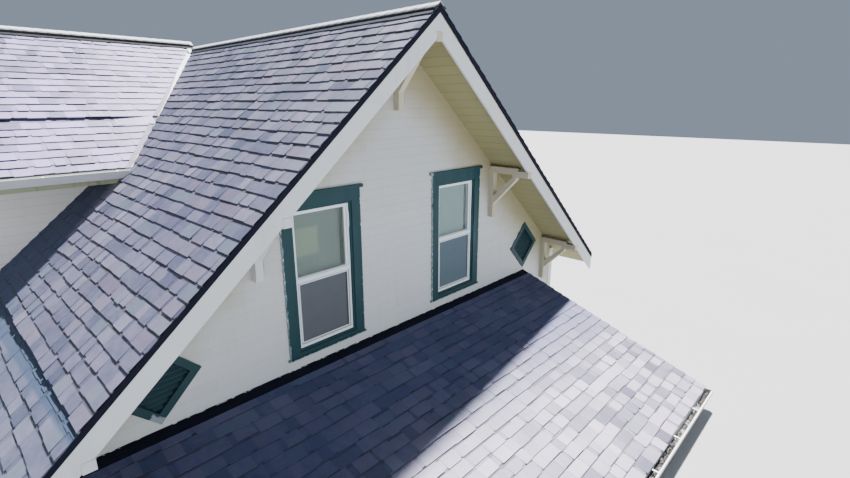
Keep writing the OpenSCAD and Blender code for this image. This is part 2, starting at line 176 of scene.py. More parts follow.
def area(outline):
    """The area inside an outline."""
    return abs(sum(p[0] * q[1] - q[0] * p[1] for p, q in pairs(outline))) / 2


def sides(outline):
    """The half planes that hold an outline drawn anticlockwise."""
    found = []
    for here, there in pairs(outline):
        a, b = there[1] - here[1], here[0] - there[0]
        found.append((a, b, a * here[0] + b * here[1]))
    return found


def inside(outline, region):
    """The part of an outline that lies in a convex region."""
    for a, b, c in sides(region):
        outline = keep_side(outline, a, b, c)
    return outline


def outside(outline, cutter):
    """The convex parts of an outline that lie off a convex cutter."""
    parts = []
    for a, b, c in sides(cutter):
        parts.append(keep_side(outline, -a, -b, -c))
        outline = keep_side(outline, a, b, c)
    return [part for part in parts if part]


def fitted(outline, regions, cutters=()):
    """The convex parts of an outline that lie in any of the regions and off every cutter."""
    parts = [part for part in (inside(outline, region) for region in regions) if part]
    for cutter in cutters:
        parts = [left for part in parts for left in outside(part, cutter)]
    return parts


def rectangle(u0, v0, u1, v1):
    """A rectangle's outline."""
    return [(u0, v0), (u1, v0), (u1, v1), (u0, v1)]


# Making pieces


class Surface:
    """A flat face of the object: u runs along it, v up it and h out of it."""

    def __init__(self, origin, along, up, out=(0, 0, 1)):
        self.origin = Vector(origin)
        self.along = Vector(along).normalized()
        self.up = Vector(up).normalized()
        self.out = self.along.cross(self.up).normalized()
        if self.out.dot(Vector(out)) < 0:
            self.out.negate()

    def point(self, u, v, h=0.0):
        """A point of the surface in the object's own frame."""
        return self.origin + u * self.along + v * self.up + h * self.out


def wall_face(x, y, z=0.0, side=0):
    """An upright face that looks to the front, or left or right where side is -1 or 1."""
    if side:
        return Surface((x, y, z), (0, 1, 0), (0, 0, 1), (side, 0, 0))
    return Surface((x, y, z), (1, 0, 0), (0, 0, 1), (0, -1, 0))


def main_face(x_out, y, tilt=0.0, drop=0.0, side=1):
    """The surface of a main slope's boards, from its foot at x_out."""
    return Surface((side * x_out, y, deck_z(x_out) - drop), (0, 1, -tilt), (-side, 0, PITCH))


class Shape:
    """The corners and faces of one piece, with a tone and a mark on each face."""

    def __init__(self):
        self.corners, self.faces, self.tones, self.marks = [], [], [], []

    def face(self, points, tone=0.5, mark=0.0):
        """Adds one flat face."""
        start = len(self.corners)
        self.corners.extend(points)
        self.faces.append(range(start, start + len(points)))
        self.tones.append(tone)
        self.marks.append(mark)

    def solid(self, faces, tone=0.5, marks=None):
        """Adds the faces of a convex solid, each turned to look outwards."""
        points = [point for face in faces for point in face]
        middle = sum(points, Vector()) / len(points)
        for number, face in enumerate(faces):
            normal = (face[1] - face[0]).cross(face[2] - face[1])
            if normal.dot(face[0] - middle) < 0:
                face = face[::-1]
            self.face(face, tone, marks[number] if marks else 0.0)

    def slab(self, low, high, tone=0.5, edge_marks=None, top_mark=0.0):
        """Adds a convex solid between two outlines with the same number of corners."""
        edges = [[a, b, d, c] for (a, b), (c, d) in zip(pairs(low), pairs(high))]
        edge_marks = edge_marks or [0.0] * len(low)
        self.solid([low, high, *edges], tone, [top_mark, top_mark, *edge_marks])

    def board(self, low, high, bevel=0.003, place=Vector):
        """Adds a box with bevelled edges. place turns its own x, y, z into the object's frame."""
        bevel = min(bevel, *(0.45 * (high[i] - low[i]) for i in range(3)))
        ends = list(zip(low, high))

        def corner(picks, axis):
            return place([
                ends[i][picks[i]] + (0.0 if i == axis else bevel * (1 - 2 * picks[i]))
                for i in range(3)
            ])

        faces = []
        for axis in range(3):
            one, two = (i for i in range(3) if i != axis)

            def picks(along, first, second):
                made = [along] * 3
                made[one], made[two] = first, second
                return made

            for end in (0, 1):
                ring = ((0, 0), (1, 0), (1, 1), (0, 1))
                faces.append([corner(picks(end, *turn), axis) for turn in ring])
            for turn in product((0, 1), repeat=2):
                near, far = picks(0, *turn), picks(1, *turn)
                faces.append([
                    corner(near, one), corner(far, one), corner(far, two), corner(near, two)
                ])
        for signs in product((0, 1), repeat=3):
            faces.append([corner(signs, axis) for axis in range(3)])
        self.solid(faces)

    def piece(self, name, material, slot, replaces=()):
        """Makes the piece, which rides on the object's one body."""
        if not self.faces:
            raise RuntimeError(f"{name} has no faces")
        mesh = bpy.data.meshes.new(name)
        mesh.from_pydata([tuple(corner) for corner in self.corners], [], self.faces)
        for label, values in (("tone", self.tones), ("mark", self.marks)):
            layer = mesh.attributes.new(label, "FLOAT", "FACE")
            layer.data.foreach_set("value", values)
        mesh.materials.append(material)
        made = bpy.data.objects.new(name, mesh)
        bpy.context.scene.collection.objects.link(made)
        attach(made, "root")
        if replaces:
            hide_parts(*replaces)


def finish(material, bevel, *nodes):
    """Gives parts of the frame their material, and softens their edges."""
    for node in nodes:
        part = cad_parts[node]
        part.data.materials.clear()
        part.data.materials.append(material)
        if bevel:
            weld = part.modifiers.new("Joined corners", "WELD")
            weld.merge_threshold = 1e-5
            edge = part.modifiers.new("Soft edges", "BEVEL")
            edge.width = bevel
            edge.segments = 2
            edge.limit_method = "ANGLE"
            edge.harden_normals = False


# Shader maths


def arithmetic(operation, reflected=False):
    """A Python operator that adds one Math node."""

    def apply(self, other):
        pair = (other, self) if reflected else (self, other)
        return self.shader.math(operation, *pair)

    return apply


class Value:
    """A socket that works as a number in Python expressions."""

    def __init__(self, shader, socket):
        self.shader = shader
        self.socket = socket

    __add__ = arithmetic("ADD")
    __radd__ = arithmetic("ADD", True)
    __sub__ = arithmetic("SUBTRACT")
    __rsub__ = arithmetic("SUBTRACT", True)
    __mul__ = arithmetic("MULTIPLY")
    __rmul__ = arithmetic("MULTIPLY", True)
    __truediv__ = arithmetic("DIVIDE")
    __lt__ = arithmetic("LESS_THAN")
    __gt__ = arithmetic("GREATER_THAN")

    def __abs__(self):
        return self.shader.math("ABSOLUTE", self)


class Shader:
    """One material and its nodes."""

    def __init__(self, name):
        self.material = bpy.data.materials.new(name)
        self.material.use_nodes = True
        self.tree = self.material.node_tree
        self.tree.nodes.clear()
        self.place = self.node("ShaderNodeTexCoord", output="Object")

    def node(self, kind, settings=None, sockets=None, output=0):
        """Adds any node: its settings first, then the values or links of its sockets."""
        made = self.tree.nodes.new(kind)
        for key, value in (settings or {}).items():
            if key == "stops":
                ramp = made.color_ramp
                while len(ramp.elements) < len(value):
                    ramp.elements.new(1.0)
                for element, (position, colour) in zip(ramp.elements, value):
                    element.position = position
                    element.color = (*colour, 1.0)
            else:
                setattr(made, key, value)
        for key, value in (sockets or {}).items():
            if isinstance(value, Value):
                self.tree.links.new(value.socket, made.inputs[key])
            else:
                made.inputs[key].default_value = value
        return Value(self, made.outputs[output]) if made.outputs else None

    def math(self, operation, *values):
        """A Math node."""
        return self.node("ShaderNodeMath", {"operation": operation}, dict(enumerate(values)))

    def least(self, first, second):
        """The lesser of two numbers."""
        return self.math("MINIMUM", first, second)

    def mix(self, factor, first, second):
        """A mix of two colours."""
        pair = [c if isinstance(c, Value) else (*tuple(c)[:3], 1.0) for c in (first, second)]
        settings = {"data_type": "RGBA", "blend_type": "MIX", "clamp_factor": True}
        return self.node("ShaderNodeMix", settings, {0: factor, 6: pair[0], 7: pair[1]}, 2)

    def axis(self, name):
        """One coordinate of the object's own frame."""
        return self.node("ShaderNodeSeparateXYZ", None, {0: self.place}, name)

    def facing(self, name):
        """One part of the face's own direction."""
        flat = self.node("ShaderNodeNewGeometry", output="True Normal")
        return self.node("ShaderNodeSeparateXYZ", None, {0: flat}, name)

    def noise(self, scale, detail=4.0, stretch=(1.0, 1.0, 1.0), rough=0.55):
        """Noise with a given number of waves in a metre, more or fewer along each axis."""
        pair = {0: self.place, 1: tuple(scale * part for part in stretch)}
        spot = self.node("ShaderNodeVectorMath", {"operation": "MULTIPLY"}, pair)
        sockets = {"Vector": spot, "Scale": 1.0, "Detail": detail, "Roughness": rough}
        return self.node("ShaderNodeTexNoise", None, sockets, "Fac")

    def rise(self, value, low, high):
        """A smooth step from 0 at low to 1 at high."""
        sockets = {"Value": value, "From Min": low, "From Max": high}
        return self.node("ShaderNodeMapRange", {"interpolation_type": "SMOOTHSTEP"}, sockets)

    def attribute(self, name):
        """A number that the mesh keeps for each face."""
        return self.node("ShaderNodeAttribute", {"attribute_name": name}, output="Fac")

    def ramp(self, value, stops):
        """A colour from a ramp."""
        return self.node("ShaderNodeValToRGB", {"stops": stops}, {0: value})

    def boards(self, axis, width, first, last):
        """The grooves between boards that lie side by side along an axis, and their tones."""
        joint = self.axis(axis) / width
        groove = self.rise(abs(self.math("FRACT", joint) - 0.5), first, last)
        number = {"W": self.math("FLOOR", joint)}
        return groove, self.node("ShaderNodeTexWhiteNoise", {"noise_dimensions": "1D"}, number)

    def bump(self, height, distance, strength=1.0):
        """A normal from a height in parts of distance, in metres."""
        sockets = {"Strength": strength, "Distance": distance, "Height": height}
        return self.node("ShaderNodeBump", None, sockets)

    def close(self, **sockets):
        """Ends the material in one surface shader."""
        named = {
            key.replace("_", " ").title().replace("Ior", "IOR"): value
            for key, value in sockets.items()
        }
        surface = self.node("ShaderNodeBsdfPrincipled", None, named)
        self.node("ShaderNodeOutputMaterial", None, {"Surface": surface})
        return self.material


def dim(colour, part):
    """A colour at part of its strength."""
    return Vector(tuple(colour)[:3]) * part


# Materials


def shingle_finish(name, colours, tint, darkening=None, painted_sun=None):
    """Mineral grains on asphalt, a tone for each tab and black cut edges.

    tint is the colour of the sheen. The next argument gives the two values of Y between which
    painted shade grows towards a wall, how far left of the middle that begins, how much its
    edge slants, how strong it gets and its colour. The last gives the two distances in front
    of the origin between which a paler colour is painted in as sunlight, and that colour.
    """
    s = Shader(name)
    tone, edge = s.attribute("tone"), s.attribute("mark")
    weather = s.noise(1.1, 5.0)
    patch = s.noise(14.0, 4.0)
    grains = s.noise(260.0, 2.0, rough=0.7)
    shade = tone * 0.6 + weather * 0.4 + patch * 0.34 - 0.28 + (grains - 0.5) * 0.5
    dark, light = Vector(colours.shingle_dark), Vector(colours.shingle_light)
    stops = [(0.0, dark * 0.8), (0.3, dark), (0.62, dark.lerp(light, 0.6)), (1.0, light)]
    base = s.ramp(shade, stops)
    bloom = s.rise(s.noise(0.7, 3.0), 0.52, 0.78)
    base = s.mix(bloom * 0.2, base, light * 0.8)
    hue = s.math("FRACT", tone * 37.0)
    base = s.mix((hue > 0.86) * 0.45, base, (0.085, 0.12, 0.145))
    base = s.mix((hue < 0.14) * 0.4, base, (0.125, 0.10, 0.15))
    # Painted sunlight: a paler colour, mottled by tab, beyond a given distance in front of the
    # origin.
    if painted_sun:
        first, last, pale = painted_sun
        painted_sunlight = s.rise(0.0 - s.axis("Y"), first, last)
        base = s.mix(painted_sunlight * (tone * 0.75 + (weather - 0.5) * 0.8 - 0.12), base, pale)
    rough = 0.36 + tone * 0.24 + grains * 0.08 + edge * 0.3
    # Painted shade: a darker, bluer and rougher colour near a wall, its edge slanted to follow
    # where the shadow falls.
    if darkening:
        first, last, beyond, slant, strength, colour = darkening
        inward = s.axis("Y") - s.axis("X") * slant
        painted_shade = s.rise(inward + (weather - 0.5) * 0.25, first, last)
        painted_shade = painted_shade * s.rise(0.0 - s.axis("X"), beyond, beyond + 0.15)
        base = s.mix(painted_shade * strength, base, colour)
        rough = rough + painted_shade * (strength * 0.45)
    # The mark darkens the tabs' black cut edges, the printed bands between tabs and the painted
    # shade lines under each butt.
    return s.close(
        base_color=s.mix(edge * 0.9, base, (0.010, 0.012, 0.022)),
        roughness=rough,
        specular_ior_level=1.0,
        specular_tint=tint,
        normal=s.bump(grains + patch * 0.5, 0.003, 0.5),
    )


def paint_finish(
    name, colour, dirt, dirt_colour=(0.24, 0.23, 0.20), gloss=0.5, board_tone=0.1, cream=0.0
):
    """Old paint on wood: grain under it, rain streaks and a tone for each board.

    cream is how strongly painted shade darkens the paint high under the gable, with a yellow tint
    painted in as light thrown from the soffit.
    """
    s = Shader(name)
    tone, lap = s.attribute("tone"), s.attribute("mark")
    grain = s.noise(5.0, 6.0, (1.0, 1.0, 34.0))
    blotch = s.noise(2.1, 5.0)
    streak = s.noise(3.0, 6.0, (7.0, 7.0, 0.45))
    brush = s.noise(60.0, 3.0, (0.4, 0.4, 3.0))
    soil = s.rise(blotch * 0.55 + streak * 0.45, 0.47, 0.78) * dirt
    speck = s.rise(s.noise(38.0, 4.0), 0.70, 0.80) * (dirt * 0.9)
    base = s.mix(tone * board_tone + brush * 0.05, colour, dim(colour, 0.78))
    # Painted shade high on the gable wall and under the rake, the latter tinted yellow as painted
    # light from the soffit.
    if cream:
        height = s.axis("Z")
        high = s.rise(height + blotch * 0.3, 2.8, 3.7)
        base = s.mix(high * (0.8 * cream), base, dim(colour, 0.84))
        under_rake = height + abs(s.axis("X")) * PITCH
        rake_shaded = s.rise(under_rake + blotch * 0.4, 3.9, 4.8)
        base = s.mix(rake_shaded * cream, base, (0.325, 0.295, 0.175))
    base = s.mix(soil, base, dirt_colour)
    base = s.mix(speck, base, dim(dirt_colour, 0.6))
    # The mark darkens siding butts and a line under each lap, partly grime and partly painted
    # shade.
    return s.close(
        base_color=s.mix(lap * 0.55, base, dim(dirt_colour, 0.7)),
        roughness=gloss + grain * 0.2 + soil * 0.3,
        specular_ior_level=0.35,
        normal=s.bump(grain * 0.6 + brush * 0.4, 0.0012, 0.8),
    )


def casing_finish(colours):
    """Dark paint, chipped at its edges and smeared with old grey paint on its left ones."""
    s = Shader("casing paint")
    across = s.axis("X")
    off_middle = abs(abs(across) - WINDOW_X)
    to_left = (abs(across) - WINDOW_X) * s.math("SIGN", across) + CASING_OUTER
    to_outer = abs(CASING_OUTER - off_middle)
    to_foot = s.axis("Z") - CASING_LOW.z
    ragged = s.noise(34.0, 6.0, (1.0, 1.0, 0.6), rough=0.75)
    chip = s.rise(ragged - s.least(to_outer, to_foot) * 34.0, 0.52, 0.58)
    broad = s.noise(22.0, 5.0, (1.0, 1.0, 0.4), rough=0.7)
    smear = s.rise(broad - s.least(to_left, to_foot) * 13.0, 0.30, 0.44)
    wear = s.noise(4.0, 5.0, (1.0, 1.0, 0.4))
    fade = s.noise(18.0, 5.0, (1.0, 1.0, 0.2))
    base = s.mix(wear * 0.55 + fade * 0.2, colours.casing, dim(colours.casing, 0.6))
    base = s.mix(s.rise(wear, 0.55, 0.8) * 0.35, base, (0.030, 0.13, 0.145))
    base = s.mix(smear * 0.75, base, (0.24, 0.31, 0.33))
    base = s.mix(chip * 0.8, base, (0.42, 0.48, 0.50))
    grain = s.noise(6.0, 5.0, (26.0, 26.0, 1.0))
    return s.close(
        base_color=s.mix((s.facing("Z") > 0.5) * 0.7, base, (0.015, 0.022, 0.024)),
        roughness=0.42 + fade * 0.25 + chip * 0.15,
        specular_ior_level=0.25,
        normal=s.bump(grain * 0.5 + chip, 0.0016, 0.8),
    )


def vent_finish(colours):
    """The vents' dark paint, with a bare patch low on the left one."""
    s = Shader("vent paint")
    off = abs(s.axis("X") + VENT_X + 0.05) * 0.8 + abs(s.axis("Z") - VENT_Z + 0.345)
    ragged = s.noise(34.0, 5.0, rough=0.7)
    bare = s.rise(ragged * 0.10 - off, -0.035, -0.018)
    wear = s.noise(7.0, 5.0)
    dust = s.rise(s.noise(50.0, 4.0), 0.62, 0.75)
    base = s.mix(wear * 0.7, dim(colours.casing, 0.8), dim(colours.casing, 0.6))
    base = s.mix((s.facing("Z") > 0.2) * 0.8, base, (0.028, 0.066, 0.085))
    base = s.mix(dust * 0.06, base, (0.10, 0.15, 0.17))
    return s.close(
        base_color=s.mix(bare * 0.9, base, (0.24, 0.285, 0.31)),
        roughness=0.5 + wear * 0.25,
        specular_ior_level=0.35,
        normal=s.bump(ragged * 0.4 + bare, 0.0015, 0.7),
    )


def slab_finish(name, colours, axis):
    """A roof's underside of painted boards, and its dark felted edges."""
    s = Shader(name)
    groove, board = s.boards(axis, BOARD_WIDTH, 0.455, 0.485)
    under = s.rise(0.0 - s.facing("Z"), 0.2, 0.4)
    stain = s.noise(2.6, 5.0)
    grain = s.noise(7.0, 5.0, (6.0, 6.0, 6.0))
    paint = s.mix(stain * 0.5 + board * 0.14, colours.soffit, dim(colours.soffit, 0.62))
    paint = s.mix(groove * 0.75, paint, (0.06, 0.055, 0.04))
    felt = s.mix(stain, (0.018, 0.020, 0.026), (0.05, 0.052, 0.06))
    return s.close(
        base_color=s.mix(under, felt, paint),
        roughness=0.72 + grain * 0.2,
        specular_ior_level=0.3,
        normal=s.bump(grain * 0.4 - groove * under, 0.003, 0.8),
    )


def soffit_finish(colours):
    """Painted boards that run back from the barge boards to the wall."""
    s = Shader("soffit boards")
    groove, board = s.boards("X", BOARD_WIDTH, 0.462, 0.488)
    stain = s.noise(2.6, 5.0)
    darkening = s.noise(9.0, 5.0, (1.0, 0.25, 1.0))
    base = s.mix(stain * 0.4 + board * 0.16, colours.soffit, dim(colours.soffit, 0.68))
    base = s.mix(s.rise(darkening, 0.55, 0.8) * 0.3, base, (0.33, 0.31, 0.20))
    return s.close(
        base_color=s.mix(groove * 0.55, base, (0.13, 0.12, 0.08)),
        roughness=0.62 + darkening * 0.2,
        specular_ior_level=0.3,
        normal=s.bump(darkening * 0.3 - groove, 0.003, 0.7),
    )


def cap_finish():
    """Pale weathered ridge caps, chalky with darker joints, their outer edges darkened as painted
    shade.
    """
    s = Shader("pale ridge caps")
    chalk = s.noise(9.0, 5.0)
    grains = s.noise(240.0, 2.0, rough=0.7)
    lightest, darkest = (0.80, 0.85, 0.88), (0.40, 0.44, 0.48)
    base = s.mix(chalk * 0.8 + s.attribute("tone") * 0.2, lightest, darkest)
    base = s.mix(s.attribute("mark") * 0.6, base, (0.10, 0.11, 0.14))
    # Painted shade: the outer part of each wing goes nearly black, as under the cap's edge.
    out = s.least(abs(s.axis("X")), abs(s.axis("Y") - SIDE_RIDGE_Y))
    outer_shade = s.rise(out + (chalk - 0.5) * 0.02, CAP_REACH * 0.60, CAP_REACH * 0.74)
    return s.close(
        base_color=s.mix(outer_shade * 0.92, base, (0.014, 0.016, 0.024)),
        specular_ior_level=0.3,
        roughness=0.6 + grains * 0.2,
        normal=s.bump(grains + chalk, 0.003, 0.6),
    )


def shaded_flap_finish():
    """The caps' lower flaps, painted dark as the shade band under each cap, less dark on the main
    ridge than on the side one.
    """
    s = Shader("ridge cap flaps")
    grains = s.noise(240.0, 2.0, rough=0.7)
    patch = s.noise(7.0, 4.0)
    base = s.mix(s.attribute("tone"), (0.008, 0.009, 0.012), (0.028, 0.033, 0.048))
    return s.close(
        base_color=s.mix(patch * 0.6 + grains * 0.2, base, (0.018, 0.021, 0.030)),
        specular_ior_level=0.15,
        roughness=0.7 + grains * 0.2,
        normal=s.bump(grains + patch, 0.003, 0.6),
    )


def vent_strip_finish():
    """Black moulded vent strip, dusty in its slots."""
    s = Shader("vent strip")
    dust = s.noise(30.0, 4.0)
    base = s.mix(dust * 0.6, (0.012, 0.013, 0.018), (0.05, 0.05, 0.055))
    return s.close(base_color=base, roughness=0.7, normal=s.bump(dust, 0.002, 0.5))


def metal_dust(s):
    """The dust on sheet metal."""
    return s.noise(3.2, 6.0, (1.0, 1.0, 1.6))


def close_metal(s, base, dust, rough, shine=0.5):
    """Ends a sheet metal, dented all over and rougher under its dust."""
    return s.close(
        base_color=base,
        specular_ior_level=shine,
        roughness=rough + dust * 0.3,
        normal=s.bump(s.noise(6.0, 3.0), 0.006, 0.5),
    )


def metal_finish(name, colour, rust=0.0, rough=0.4, shine=0.5):
    """Sheet metal with dents, dust and a little rust."""
    s = Shader(name)
    dust = metal_dust(s)
    spots = s.rise(s.noise(24.0, 5.0), 0.60, 0.72)
    base = s.mix(dust * 0.5, colour, dim(colour, 0.6))
    base = s.mix(spots * rust, base, (0.15, 0.075, 0.04))
    return close_metal(s, base, dust, rough, shine)


def gutter_finish():
    """White gutter metal, with painted light on its upward rims and painted shade greying its
    upright faces.
    """
    s = Shader("gutter metal")
    dust = metal_dust(s)
    spots = s.rise(s.noise(24.0, 5.0), 0.62, 0.72)
    grey = s.mix(dust * 0.6, (0.50, 0.51, 0.54), (0.34, 0.34, 0.35))
    # Painted light and shade: faces that look up are white, upright faces grey.
    base = s.mix(s.rise(s.facing("Z"), 0.2, 0.7), grey, (0.80, 0.82, 0.84))
    base = s.mix(spots * 0.25, base, (0.16, 0.11, 0.08))
    return close_metal(s, base, dust, 0.4)


def valley_finish():
    """Pale valley metal, dull and stained on the side roof's half."""
    s = Shader("valley metal")
    dust = metal_dust(s)
    along = (s.axis("Y") - SIDE_EAVE.y) * (1.0 / VALLEY_RUN)
    off_line = along * VALLEY_X - VALLEY_X - s.axis("X")
    bright = s.rise(along, 0.45, 0.95) * 0.11 + 0.004
    dull = s.rise(off_line - bright, 0.0, 0.012)
    stain = s.rise(s.noise(9.0, 5.0), 0.5, 0.7)
    base = s.mix(dust * 0.5, (0.84, 0.86, 0.92), (0.50, 0.51, 0.56))
    base = s.mix(dull * 0.95, base, (0.15, 0.14, 0.19))
    base = s.mix(dull * stain * 0.5, base, (0.09, 0.085, 0.115))
    return close_metal(s, base, dust, 0.45, 0.2)


def glass_finish():
    """Old window glass, a little wavy and dusty, its greenish colour a painted reflection that is
    bluer on the right window.
    """
    s = Shader("window glass")
    film = s.noise(5.0, 5.0, (1.0, 1.0, 0.5))
    cool = s.rise(s.axis("X"), -0.5, 0.5)
    # The greenish colour is a painted reflection on the glass, bluer on the right window.
    base = s.mix(film * 0.4, (0.17, 0.23, 0.21), (0.24, 0.29, 0.26))
    return s.close(
        base_color=s.mix(cool * 0.7, base, (0.30, 0.42, 0.44)),
        roughness=0.03 + film * 0.08,
        alpha=0.14 + film * 0.08,
        specular_ior_level=0.5,
        normal=s.bump(s.noise(3.0, 2.0), 0.004, 0.35),
    )


def screen_finish():
    """The fine dark net of an insect screen."""
    s = Shader("insect screen net")
    sag = s.noise(7.0, 4.0)
    cool = s.rise(s.axis("X"), -0.5, 0.5)
    base = s.mix(sag * 0.5, (0.085, 0.098, 0.118), (0.12, 0.13, 0.155))
    return s.close(
        base_color=s.mix(cool * 0.7, base, (0.092, 0.158, 0.197)),
        roughness=0.75,
        alpha=0.80 + sag * 0.05,
        normal=s.bump(s.noise(420.0, 1.0), 0.001, 0.5),
    )


def blind_finish():
    """A pale blind with faint upright folds and a greener patch on the left."""
    s = Shader("blind")
    folds = s.noise(16.0, 3.0, (1.0, 1.0, 0.05))
    stain = s.noise(4.0, 4.0)
    base = s.mix(folds * 0.25 + stain * 0.3, (0.175, 0.25, 0.22), (0.13, 0.185, 0.17))
    base = s.mix(s.rise(s.axis("X"), -0.5, 0.5) * 0.8, base, (0.265, 0.40, 0.40))
    off = s.math("MAXIMUM", abs(s.axis("X") + 1.22), abs(s.axis("Z") - 2.56))
    base = s.mix(s.rise(0.0 - off, -0.17, -0.12) * 0.55, base, (0.36, 0.50, 0.33))
    return s.close(base_color=base, roughness=0.8, normal=s.bump(folds, 0.01, 0.5))


def plaster_finish(name, colour):
    """Plain plaster with trowel marks and hairline stains."""
    s = Shader(name)
    broad = s.noise(1.3, 5.0)
    fine = s.noise(45.0, 5.0)
    stain = s.rise(s.noise(2.2, 6.0, (3.0, 3.0, 0.5)), 0.52, 0.8)
    base = s.mix(broad * 0.5, colour, dim(colour, 0.8))
    base = s.mix(stain * 0.25, base, (0.26, 0.25, 0.22))
    rough = 0.82 + fine * 0.1
    return s.close(base_color=base, roughness=rough, normal=s.bump(fine + broad, 0.002, 0.6))


def floorboard_finish():
    """Bare boards, each with its own tone."""
    s = Shader("floor boards")
    groove, board = s.boards("X", 0.14, 0.47, 0.49)
    grain = s.noise(4.0, 6.0, (18.0, 1.0, 18.0))
    stops = [(0.0, (0.20, 0.13, 0.075)), (0.5, (0.33, 0.23, 0.14)), (1.0, (0.45, 0.34, 0.22))]
    base = s.mix(groove * 0.85, s.ramp(grain * 0.6 + board * 0.4, stops), (0.03, 0.02, 0.015))
    rough = 0.6 + grain * 0.2
    return s.close(base_color=base, roughness=rough, normal=s.bump(grain - groove, 0.002, 0.6))


def litter_finish():
    """Dry needles and leaf dust, pale in places."""
    s = Shader("gutter litter")
    fine = s.noise(120.0, 3.0)
    stops = [(0.0, (0.012, 0.012, 0.013)), (0.5, (0.045, 0.042, 0.038)), (1.0, (0.30, 0.29, 0.26))]
    base = s.ramp(s.attribute("tone") * 0.8 + fine * 0.2, stops)
    pale = s.rise(s.noise(4.0, 5.0, rough=0.65), 0.54, 0.60)
    base = s.mix(pale * 0.8, base, (0.46, 0.47, 0.46))
    return s.close(base_color=base, roughness=0.9, normal=s.bump(fine, 0.002, 0.6))


# Sizes and colours


class DormerSizes(PropertyGroup):
    """Sizes of what is laid on the frame."""

    exposure: FloatProperty(
        name="Shingle course", description="Height of a shingle course up the slope",
        default=0.143, min=0.12, max=0.17, subtype="DISTANCE",
    )
    tab_least: FloatProperty(
        name="Narrowest tab", description="Width of the narrowest shingle tab",
        default=0.10, min=0.05, max=0.2, subtype="DISTANCE",
    )
    tab_most: FloatProperty(
        name="Widest tab", description="Width of the widest shingle tab",
        default=0.24, min=0.2, max=0.4, subtype="DISTANCE",
    )
    tab_height: FloatProperty(
        name="Tab thickness", description="Height of a tab's lower edge above the roof boards",
        default=0.015, min=0.006, max=0.02, subtype="DISTANCE",
    )
    siding_course: FloatProperty(
        name="Siding course", description="Height of a siding board that shows",
        default=0.1075, min=0.09, max=0.15, subtype="DISTANCE",
    )
    siding_butt: FloatProperty(
        name="Siding thickness", description="Thickness of a siding board's lower edge",
        default=0.012, min=0.006, max=0.015, subtype="DISTANCE",
    )
    strap_spacing: FloatProperty(
        name="Gutter straps", description="Distance between a gutter's straps",
        default=0.72, min=0.3, max=0.9, subtype="DISTANCE",
    )
    litter_count: IntProperty(
        name="Litter", description="Number of needles and leaves in the lower gutter",
        default=900, min=0, max=3000,
    )


class DormerColours(PropertyGroup):
    """Colours of the main finishes."""

    shingle_dark: FloatVectorProperty(
        name="Dark shingles", description="Colour of the darkest shingle tabs",
        default=(0.035, 0.043, 0.090), min=0.0, max=1.0, subtype="COLOR",
    )
    shingle_light: FloatVectorProperty(
        name="Light shingles", description="Colour of the lightest shingle tabs",
        default=(0.182, 0.172, 0.245), min=0.0, max=1.0, subtype="COLOR",
    )
    siding: FloatVectorProperty(
        name="Siding", description="Colour of the gable wall's paint",
        default=(0.54, 0.57, 0.585), min=0.0, max=1.0, subtype="COLOR",
    )
    trim: FloatVectorProperty(
        name="Trim", description="Colour of the barge boards, brackets and corner boards",
        default=(0.575, 0.605, 0.63), min=0.0, max=1.0, subtype="COLOR",
    )
    soffit: FloatVectorProperty(
        name="Soffit", description="Colour of the boards under the overhangs",
        default=(0.325, 0.31, 0.155), min=0.0, max=1.0, subtype="COLOR",
    )
    casing: FloatVectorProperty(
        name="Casings", description="Colour of the window casings and vents",
        default=(0.006, 0.046, 0.058), min=0.0, max=1.0, subtype="COLOR",
    )


# Laying shingles and siding


def lay(shape, surface, parts, ends, thick, tone, top_mark=0.0, foot_mark=1.0):
    """Adds convex parts whose outer face falls from one thickness to another between two ends."""
    (low, high), (butt, top) = ends, thick
    fall = (butt - top) / max(high - low, SHORT_COURSE)
    near_foot = low + 0.2 * (high - low)
    for part in parts:
        lower = [surface.point(u, v) for u, v in part]
        upper = [surface.point(u, v, top + fall * (high - v)) for u, v in part]
        marks = [foot_mark if max(p[1], q[1]) < near_foot else 0.0 for p, q in pairs(part)]
        shape.slab(lower, upper, tone, marks, top_mark)


